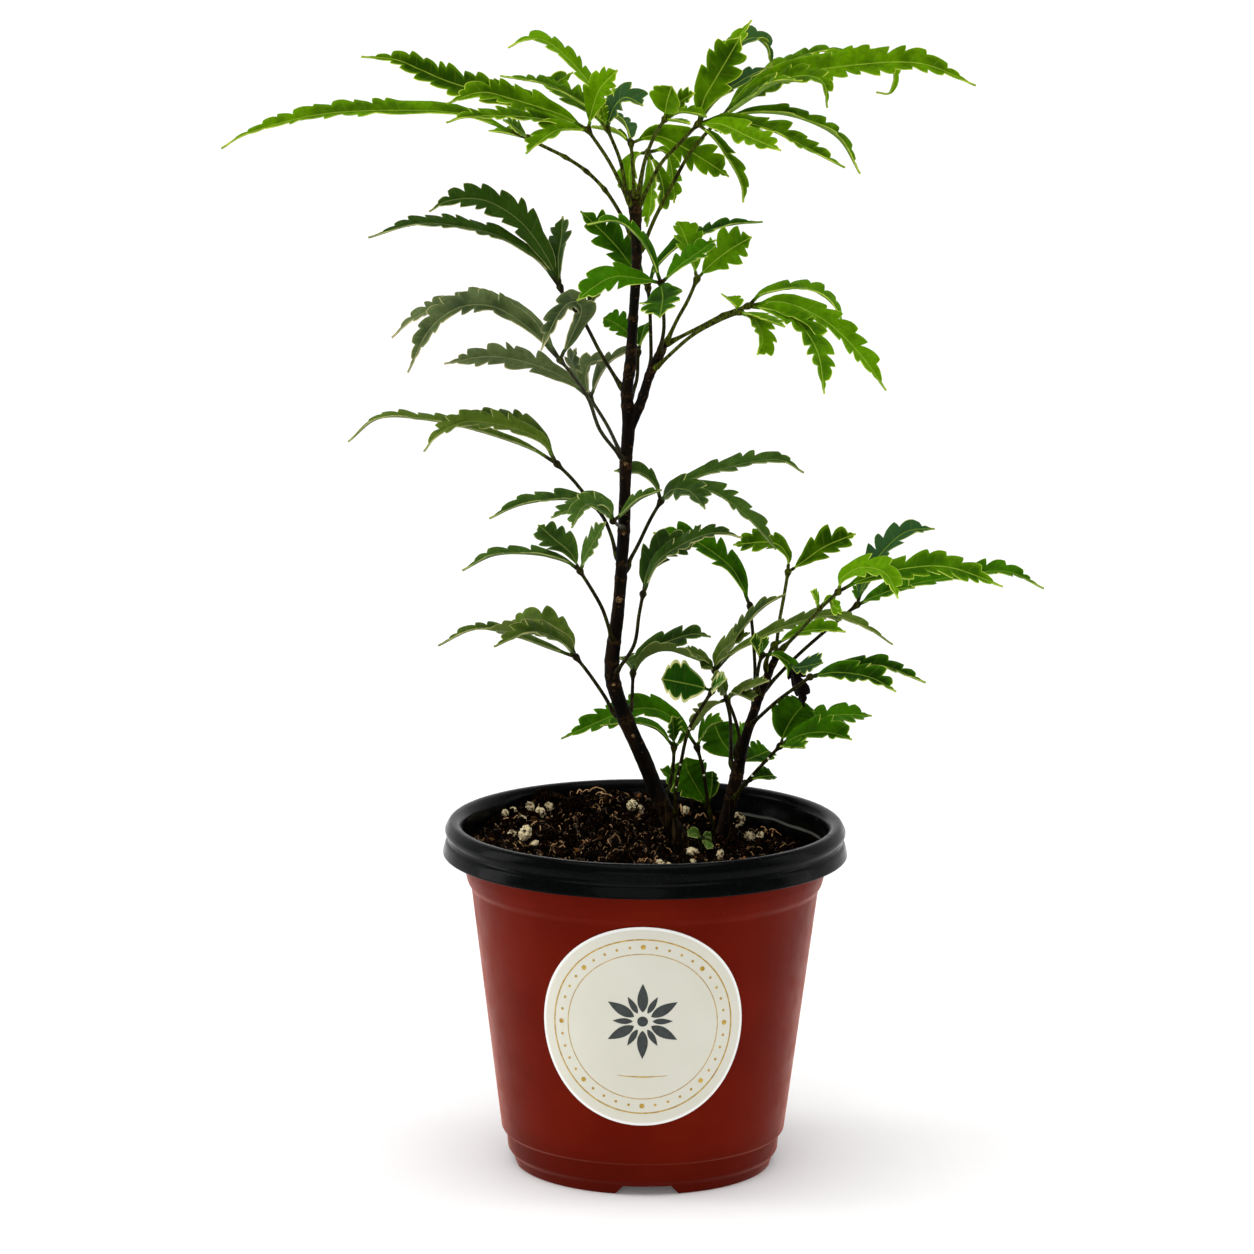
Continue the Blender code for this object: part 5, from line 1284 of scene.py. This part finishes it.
def stem_line(knots, count):
    """Places and radii along a stem."""
    places = [sight(k.point, k.depth) for k in knots]
    shares = np.linspace(0.0, 1.0, count)
    line, _ = smooth_line(places, shares)
    along = distances(places)
    radii = np.interp(shares, along / along[-1], [k.radius for k in knots])
    return line, radii


def scars(line, heights):
    """How near each place of the line is to a leaf scar: a bell curve at each height, which falls to
    about a third within the scar's length."""
    off = line[:, 2][:, None] - np.asarray(heights)
    return np.exp(-(off / SCAR_LENGTH)**2).max(axis=1)


def make_stem(stem, rings, young_from):
    """Stem: circles along its smooth line, swollen at each scar and faintly ribbed; its buried end
    goes straight down. A side branch is sunk into it."""
    rng = np.random.default_rng(5)
    line, radii = stem_line(stem.path, rings)
    base = on_soil(stem.path[0].point)
    above = line[:, 2] > base[2] + 2.0
    line = np.vstack([base - [0, 0, ROOT_DEPTH], base - [0, 0, 1.0], line[above]])
    radii = np.concatenate([[radii[0] * 1.1, radii[0] * 1.05], radii[above]])
    feet = [leaf.foot for leaf in LEAVES if leaf.stem is stem]
    feet += STEM_RINGS if stem is MAIN_STEM else ()
    heights = [sight(foot, stem.path[0].depth)[2] for foot in feet]
    heights += list(rng.uniform(base[2] + 6.0, line[-1, 2], 2))
    parts = []
    for path, size in [(line, radii)] + ([stem_line(stem.branch, 80)] if stem.branch else []):
        scar = scars(path, heights)
        ribs = 0.02 * np.sin(path[:, 2] * 0.7) + 0.01 * np.sin(path[:, 2] * 2.3)
        size = size * (1 + SCAR_SWELLING * scar) * (1 + ribs)
        size[-3:] *= [0.9, 0.7, 0.3]
        young = np.clip((path[:, 2] - young_from) / GREENING_LENGTH, 0.0, 1.0)
        low = np.clip(1.0 - (path[:, 2] - base[2]) / PEELING_HEIGHT, 0.0, 1.0)
        parts.append(tube(path, size, STEM_SIDES, (0.0, 1.0, 0.0), scar=scar, young=young, low=low))
    piece(f"{stem.name}_bark", joined(parts), bpy.data.materials["aralia_bark"],
          [stem.name], sharp=60.0)


def nearest_seen(line, point):
    """Number of the place of the line that the picture point's line of sight passes nearest."""
    direction = ray(point)
    seen = EYE + direction * ((line[:, 1:2] - EYE[1]) / direction[1])
    return int(np.argmin(np.linalg.norm(line - seen, axis=1)))


def on_front(line, radii, point):
    """Place on the front of a round piece, where the picture point shows it."""
    nearest = nearest_seen(line, point)
    return line[nearest] + unit(EYE - line[nearest]) * radii[nearest]


def make_scars():
    """Corky ovals where leaves have dropped, flat lumps sunk into the front of the main stem."""
    line, radii = stem_line(MAIN_STEM.path, 600)
    places = np.array([on_front(line, radii * 0.93, point) for point, _ in STEM_SCARS])
    rng = np.random.default_rng(21)
    size = np.array([size for _, size in STEM_SCARS])
    corks = blobs(places, size, rng, rows=10, columns=14, lumpiness=0.10, flatness=0.3)
    piece("stem_scar_corks", corks, cork_finish(), sharp=60.0)


def make_beads():
    """Sap beads: small flattened balls half sunk into the fronts of stalks."""
    places = []
    for leaf in LEAVES:
        if leaf.name in SAP_BEADS:
            start, middle, hub = stalk_places(leaf)
            line, _ = smooth_line([*start, *middle, hub], np.linspace(0.0, 1.0, 300))
            radii = np.full(len(line), STALK_RADIUS)
            places += [on_front(line, radii, point) for point in SAP_BEADS[leaf.name]]
    rng = np.random.default_rng(22)
    size = rng.uniform(0.26, 0.4, len(places))
    beads = blobs(np.array(places), size, rng, rows=8, columns=12, lumpiness=0.03, flatness=0.2)
    piece("sap_beads", beads, sap_finish(), sharp=60.0)


# Leaves

def stalk_places(leaf):
    """Places along the stalk, in three groups: its start, inside the stem or below the soil and just
    outside, then its picture points, and its hub. It leaves the stem at a sharper angle, the more its
    first picture point lies along the stem."""
    hub = sight(leaf.hub, spread(leaf.depth))
    if leaf.stem is None:
        foot = on_soil(leaf.foot)
        start = [foot - [0, 0, ROOT_DEPTH - 3.0], foot + [0, 0, 0.8]]
    else:
        lines = [stem_line(leaf.stem.path, 60)]
        if leaf.stem.branch:
            lines.append(stem_line(leaf.stem.branch, 30))
        line = np.vstack([places for places, _ in lines])
        radii = np.concatenate([sizes for _, sizes in lines])
        nearest = nearest_seen(line, leaf.foot)
        axis, radius = line[nearest], radii[nearest]
        ahead = sight(leaf.stalk[0], axis[1] + 0.35 * (spread(leaf.depth) - axis[1])) - axis
        along = unit(line[min(nearest + 1, len(line) - 1)] - line[nearest - 1])
        out = unit(ahead - along * ahead.dot(along))
        rise = max(0.0, unit(ahead).dot(along))
        off = radius + STALK_OFF_STEM[0] + STALK_OFF_STEM[1] * rise
        up = STALK_ALONG_STEM[0] + STALK_ALONG_STEM[1] * rise
        start = [axis + out * radius * STALK_SEAT, axis + out * off + along * up]
        foot = start[-1]
    run = distances(np.array([leaf.foot, *leaf.stalk, leaf.hub], float))
    shares = run[1:-1] / run[-1]
    middle = [sight(p, foot[1] + s * (spread(leaf.depth) - foot[1])) for p, s in zip(leaf.stalk, shares)]
    return start, middle, hub


def lobe_starts(first, teeth, depth, rng):
    """Notches along one side of a leaflet, from its plain base to its tip, and the share of the half
    width that each is cut, scaled by the depth. The last lobe is the tip itself."""
    gap = (1 - first) / (teeth + 1.1)
    starts = first + gap * (np.arange(teeth + 1) + 0.3 + rng.uniform(-0.26, 0.26, teeth + 1))
    cut = rng.uniform(0.26, 0.58, teeth + 2) * depth
    cut[:1] *= 0.4
    return np.append(starts, 1.0), cut


def lobed(shares, starts, cut, scallop):
    """Level and phase of one side at these shares of its length. From its notch a lobe swells in a
    rounded shoulder to a point near its end, then drops to the next notch. A scalloped one is a
    fuller half sine wave instead, and the last lobe doesn't drop. The phase counts the lobes."""
    phase = np.interp(shares, starts, np.arange(len(starts)), left=0.0, right=len(starts) - 1.0)
    number = np.minimum(phase.astype(int), len(starts) - 2)
    u = phase - number
    deep = cut[number] * (1 - u) + cut[number + 1] * u
    shoulder = 1 - (1 - np.minimum(u / 0.8, 1.0))**2.3
    pointed = shoulder * np.clip((1 - u) / 0.17, 0.0, 1.0)**0.7
    pointed *= 1 + 0.25 * np.sin(5.0 * number + cut[0] * 40.0) * deep
    lobe = pointed * (1 - scallop) + np.sin(math.pi * np.clip(u, 0.0, 1.0))**0.6 * scallop
    last = np.maximum(lobe, 1 - (1 - np.minimum(u / 0.45, 1.0))**2)
    lobe = np.where(number == len(starts) - 2, last, lobe)
    level = np.where(shares < starts[0], 1 - cut[0] * shares / starts[0], 1 - deep * (1 - lobe))
    return level, phase


def leaflet_outline(spec, length, neck, rng):
    """Shares of the length where a leaflet's sections stand, with the half widths and the vein phases
    of its left and right sides there. The outline is a lens cut into teeth on each side. A short,
    broad leaflet is widest past its middle, and its teeth are scallops."""
    aspect = spec.width / length
    scallop = float(np.interp(aspect, [0.6, 0.8], [0.0, 1.0]))
    plain_share = (np.interp(aspect, [0.55, 0.85], [0.1, 0.3])
                   + np.interp(length, [15.0, 80.0], [0.03, 0.22]))
    cut_depth = (1 - 0.5 * scallop) * np.interp(length, [30.0, 80.0], [1.1, 0.85])
    first = neck + plain_share * (1 - neck)
    least = 2 if length < 9.0 or scallop > 0.5 else 3
    teeth = spec.teeth or int(max(least, round((1 - first) * length / TOOTH_LENGTH - 0.6)))
    sides = [lobe_starts(first, teeth + extra, cut_depth, rng) for extra in (0, int(teeth > 4))]
    ends = [ROOT_START / length, 0.5 * neck, 0.85 * neck, 0.985, 1.0]
    plain = neck + (first - neck) * np.array([0.0, 0.12, 0.3, 0.5, 0.75])
    within = [(starts[:-1, None] + np.diff(starts)[:, None] * LOBE_STATIONS).reshape(-1)
              for starts, _ in sides]
    shares = np.unique(np.round(np.concatenate([ends, plain, *within]), 3 + int(length > 20)))

    s = np.clip((shares - neck) / (1 - neck), 0.0, 1.0)
    fullness = np.interp(aspect, [0.35, 0.55, 0.95], [0.86, 1.15, 1.2])
    roundness = np.interp(aspect, [0.6, 0.85], [0.72, 0.5])
    tip = np.interp(aspect, [0.45, 0.8], [0.22, 0.12])
    lens = np.sin(math.pi * s**fullness * 0.97)**roundness
    lens *= np.clip((1 - s) / tip, 0.0, 1.0)**(0.45 + 1.7 * tip)
    levels, phases = zip(*[lobed(shares, starts, cut, scallop) for starts, cut in sides])
    halves = np.maximum(lens * np.array(levels) * spec.width / 2, 0.3)
    halves = np.where(shares > neck, halves, NECK_HALF_WIDTH)
    halves[:, -1] = 0.1
    return shares, halves, phases


def leaflet(start, depth, spec, rng, is_dead=False, has_painted_sheen=False):
    """Leaflet: sections carried along the midrib. A section is a shallow V with a thin, rounded edge,
    as wide as the outline; its wings lean to the tip, droop and ripple to the edge, and swell between
    the side veins in a cosine."""
    flat = np.array([start, *spec.path], float)
    run = distances(flat)
    places = [sight(p, depth + DEPTH_SPREAD * spec.lean * s) for p, s in zip(flat, run / run[-1])]
    _, length = smooth_line(places, [0.0, 1.0])
    neck = min(0.25, max(2.0 / length, 0.08))
    shares, halves, phases = leaflet_outline(spec, length, neck, rng)
    line, _ = smooth_line(places, shares)
    along = shares * length
    tangents = unit(np.gradient(line, along, axis=0))
    facing = unit(TO_EYE - tangents * (tangents @ TO_EYE)[:, None])
    heads_left = flat[-1, 0] < flat[0, 0]
    upper = np.cross(tangents, facing) if heads_left else np.cross(facing, tangents)
    turn = np.radians(spec.face + rng.uniform(-5, 5) * shares)[:, None]
    normal = unit(np.sin(turn) * facing + np.cos(turn) * upper)
    side = np.cross(normal, tangents)

    left = SECTION >= 0
    over = np.arange(len(SECTION)) < len(TOP_SECTION)
    half = np.where(left, halves[0][:, None], halves[1][:, None])
    phase = np.where(left, phases[0][:, None], phases[1][:, None])
    out = np.abs(SECTION) * half
    out = np.where(np.abs(SECTION) == 0.9, np.maximum(half - EDGE_WIDTH, 0.72 * half), out)
    fold = math.tan(math.radians(rng.uniform(20.0, 31.0)))
    blade = (shares > neck)[:, None] * np.ones(len(SECTION))
    ripple = 0.5 * np.sin(along * 2 * math.pi / rng.uniform(9.0, 14.0) + rng.uniform(0, 6))[:, None]
    droop = -0.05 * out**2 + ripple * (out / 4.0)**2
    thick = HALF_THICKNESS * np.where(np.abs(SECTION) == 1.0, 0.0, 1.0) + 0.22 * (1 - blade)
    rib = np.where(over, -0.04, -0.3 * (1 - shares[:, None] * 0.8))
    rib = np.where(np.abs(SECTION) < 0.2, rib, 0.0)
    quilt = QUILT * np.cos(2 * math.pi * phase) * np.sin(math.pi * np.minimum(out / half, 1.0)) * half
    rise = np.where(over, thick, -thick) + (fold * out + droop + rib + quilt) * blade
    rise[-1] *= 0.2
    sweep = TOOTH_SWEEP * np.interp(spec.width / length, [0.4, 0.8], [1.0, 0.2]) * out * blade
    sweep[-1] = 0.0
    signed = np.where(left, out, -out)
    points = line[:, None, :]
    for way, amount in ((side, signed), (normal, rise), (tangents, sweep)):
        points = points + way[:, None, :] * amount[..., None]
    stalk = np.clip(1.25 - along / (neck * length) * 0.9, 0.0, 1.0)[:, None]
    return closed_grid(
        points,
        margin=np.where(blade > 0, half - out, FAR),
        rib=np.where(blade > 0, out, FAR),
        vein=phase,
        under=np.where(over, 0.0, 1.0)[None, :] * blade,
        stalk=stalk * np.ones(len(SECTION)),
        tone=rng.uniform(0.15, 0.85),
        dead=np.clip((shares - 0.35) / 0.25, 0.0, 1.0)[:, None] * is_dead,
        # Share of the painted grey sheen, which stands in for reflected light.
        grey=1.0 * has_painted_sheen,
    )


def make_leaf(leaf, rng):
    """Stalk with a swollen foot and hub, and the leaflets that radiate from the hub."""
    start, middle, hub = stalk_places(leaf)
    whole = [*start, *middle, hub]
    rings = 12 + 9 * (len(middle) + 1)
    shares = np.linspace(0.0, 1.0, rings)
    line, length = smooth_line(whole, shares)
    onward = unit(line[-1] - line[-2])
    line = np.vstack([line, hub + onward * HUB_END[:, None]])
    along = np.append(shares * length, length + HUB_END)
    base = STALK_BASE_RADIUS if leaf.stem else STALK_RADIUS
    radii = np.interp(along / length, [0.0, 0.9, 1.0], [STALK_RADIUS, STALK_TIP_RADIUS, STALK_TIP_RADIUS])
    radii += (base - STALK_RADIUS) * np.exp(-(along / STALK_BASE_LENGTH)**2)
    radii += (HUB_RADIUS - STALK_TIP_RADIUS) * np.exp(-(along - length)**2)
    for point in STALK_KNOTS.get(leaf.name, ()):
        off = np.linalg.norm(line - on_front(line, 0 * radii, point), axis=1)
        radii += KNOT_SWELLING * np.exp(-(off / KNOT_LENGTH)**2)
    radii[-2:] *= [0.8, 0.35]
    least_used = int(np.argmin(np.ptp(line, axis=0)))
    marks = {mark: np.full(len(line), value) for mark, value in STALK_MARKS.items()}
    parts = [tube(line, radii, STALK_SIDES, np.eye(3)[least_used], **marks)]
    for number, spec in enumerate(leaf.blades):
        if spec.start is None:
            root, depth = leaf.hub, spread(leaf.depth)
        else:
            near = min(whole, key=lambda p: np.linalg.norm(p - sight(spec.start, p[1])))
            root, depth = spec.start, near[1]
        which = (leaf.name, number)
        parts.append(leaflet(root, depth, spec, rng, which == DEAD_END, which in PAINTED_SHEEN_BLADES))
    look = LEAF_LOOKS.get(leaf.name, f"waxed_{leaf.age}_leaf")
    piece(f"{leaf.name}_leaflets", joined(parts), bpy.data.materials[look],
          [leaf.name], sharp=55.0)


def make_leaves():
    """Every leaf, with the finishes that they share."""
    leaf_finish("waxed_young_leaf", "#234000", "#669600", "#6a8818", "#a4c03c", "#c4d450",
                shine=0.015, green_stalk=0.85)
    leaf_finish("waxed_mature_leaf", "#163200", "#3f7600", "#46661a", "#86a436", "#bccc58", shine=0.02)
    leaf_finish("waxed_old_leaf", "#1c3406", "#486820", "#55662c", "#84944a", "#b0ba6c", shine=0.04)
    leaf_finish("waxed_dark_leaf", "#142a02", "#304c0c", "#3c4e20", "#7e8c4a", "#b4b474", shine=0.05)
    leaf_finish("waxed_lime_leaf", "#2a5200", "#669806", "#6a8a1c", "#a4c440", "#c8dc58", shine=0.015,
                green_stalk=0.85)
    leaf_finish("waxed_olive_leaf", "#263e08", "#5c7420", "#5f6e32", "#929c4c", "#bcbc74", shine=0.05)
    leaf_finish("waxed_grey_leaf", "#243610", "#62723e", "#666c44", "#949a64", "#c8bc88", shine=0.14,
                green_stalk=0.5)
    leaf_finish("waxed_cream_edged_leaf", "#163c02", "#3a7404", "#5c7828", "#90a840", "#dcdc90",
                margin_width=0.75)
    rng = np.random.default_rng(7)
    for leaf in LEAVES:
        make_leaf(leaf, rng)


# Studio

def make_studio():
    """Pale floor that bends up into a wall in a quarter circle: a sheet with a thickness."""
    width, front, back, bend, top, thickness = 24000.0, -12000.0, 2600.0, 900.0, 5200.0, 20.0
    angles = np.linspace(0.0, math.pi / 2, 24)
    curve = np.stack([back + bend * np.sin(angles), bend * (1 - np.cos(angles))], axis=1)
    profile = np.vstack([[front, 0.0], curve, [back + bend, top]])
    over = np.stack([np.full(len(profile), width / 2), profile[:, 0], profile[:, 1]], axis=1)
    under = over - [0.0, 0.0, thickness]
    under[:, 1] += np.linspace(0.0, thickness, len(profile))
    mirror = np.array([-1.0, 1.0, 1.0])
    rows = np.stack([over * mirror, under * mirror, under, over], axis=1)
    sheet = closed_grid(rows)
    mesh = bpy.data.meshes.new("studio_sweep")
    faces = [tuple(face) for group in sheet.faces for face in group]
    mesh.from_pydata([tuple(p) for p in sheet.points * MM], [], faces)
    mesh.materials.append(studio_finish())
    mesh.shade_smooth()
    mesh.set_sharp_from_angle(angle=math.radians(40.0))
    floor = bpy.data.objects.new("studio_sweep", mesh)
    bpy.context.scene.collection.objects.link(floor)


def lamp(name, kind, energy, place, target, **settings):
    """Light at the place, turned to the target."""
    data = bpy.data.lights.new(name, kind)
    data.energy = energy
    for setting, value in settings.items():
        setattr(data, setting, value)
    made = bpy.data.objects.new(name, data)
    forward = unit(np.array(target, float) - np.array(place, float))
    right = unit(np.cross(forward, (0.0, 0.0, 1.0)))
    up = np.cross(right, forward)
    turn = Matrix(np.stack([right, up, -forward], axis=1).tolist()).to_4x4()
    made.matrix_world = Matrix.Translation(np.array(place) * MM) @ turn
    bpy.context.scene.collection.objects.link(made)


def make_light():
    """Soft white studio light: an even room, wide lights from above and in front, and two boxes."""
    world = bpy.data.worlds.new("soft_white_room")
    bpy.context.scene.world = world
    world.use_nodes = True
    room = world.node_tree.nodes["Background"].inputs
    room["Color"].default_value = (1.0, 1.0, 1.0, 1.0)
    room["Strength"].default_value = 0.36
    lamp("high_key", "SUN", 1.75, (-50, -400, 2200), (0, 0, 100), angle=math.radians(56))
    lamp("front_fill", "SUN", 0.58, (-320, -2200, 620), (0, 0, 100), angle=math.radians(40))
    lamp("left_box", "AREA", 3.8, (-900, 60, 300), (0, 0, 120), shape="RECTANGLE", size=0.35, size_y=0.9)
    lamp("right_box", "AREA", 1.6, (900, 100, 350), (0, 0, 120), shape="RECTANGLE", size=0.35, size_y=0.9)


def make_camera():
    """Camera at the photograph's eye point, with its pitch, roll and focal length."""
    data = bpy.data.cameras.new("camera")
    data.sensor_width = SENSOR_WIDTH
    data.lens = FOCAL / PICTURE_SIZE * SENSOR_WIDTH
    data.clip_start = 0.05
    data.clip_end = 50.0
    made = bpy.data.objects.new("camera", data)
    turn = np.stack([RIGHT, UP, -FORWARD], axis=1)
    made.matrix_world = Matrix.Translation(EYE * MM) @ Matrix(turn.tolist()).to_4x4()
    bpy.context.scene.collection.objects.link(made)
    bpy.context.scene.camera = made


def main():
    make_camera()
    make_light()
    make_studio()
    make_pot()
    make_sticker()
    make_soil()
    bark_finish()
    make_stem(MAIN_STEM, rings=420, young_from=200.0)
    make_stem(SECOND_STEM, rings=160, young_from=110.0)
    make_scars()
    make_beads()
    make_leaves()
    bpy.context.scene.view_settings.view_transform = "Standard"


main()
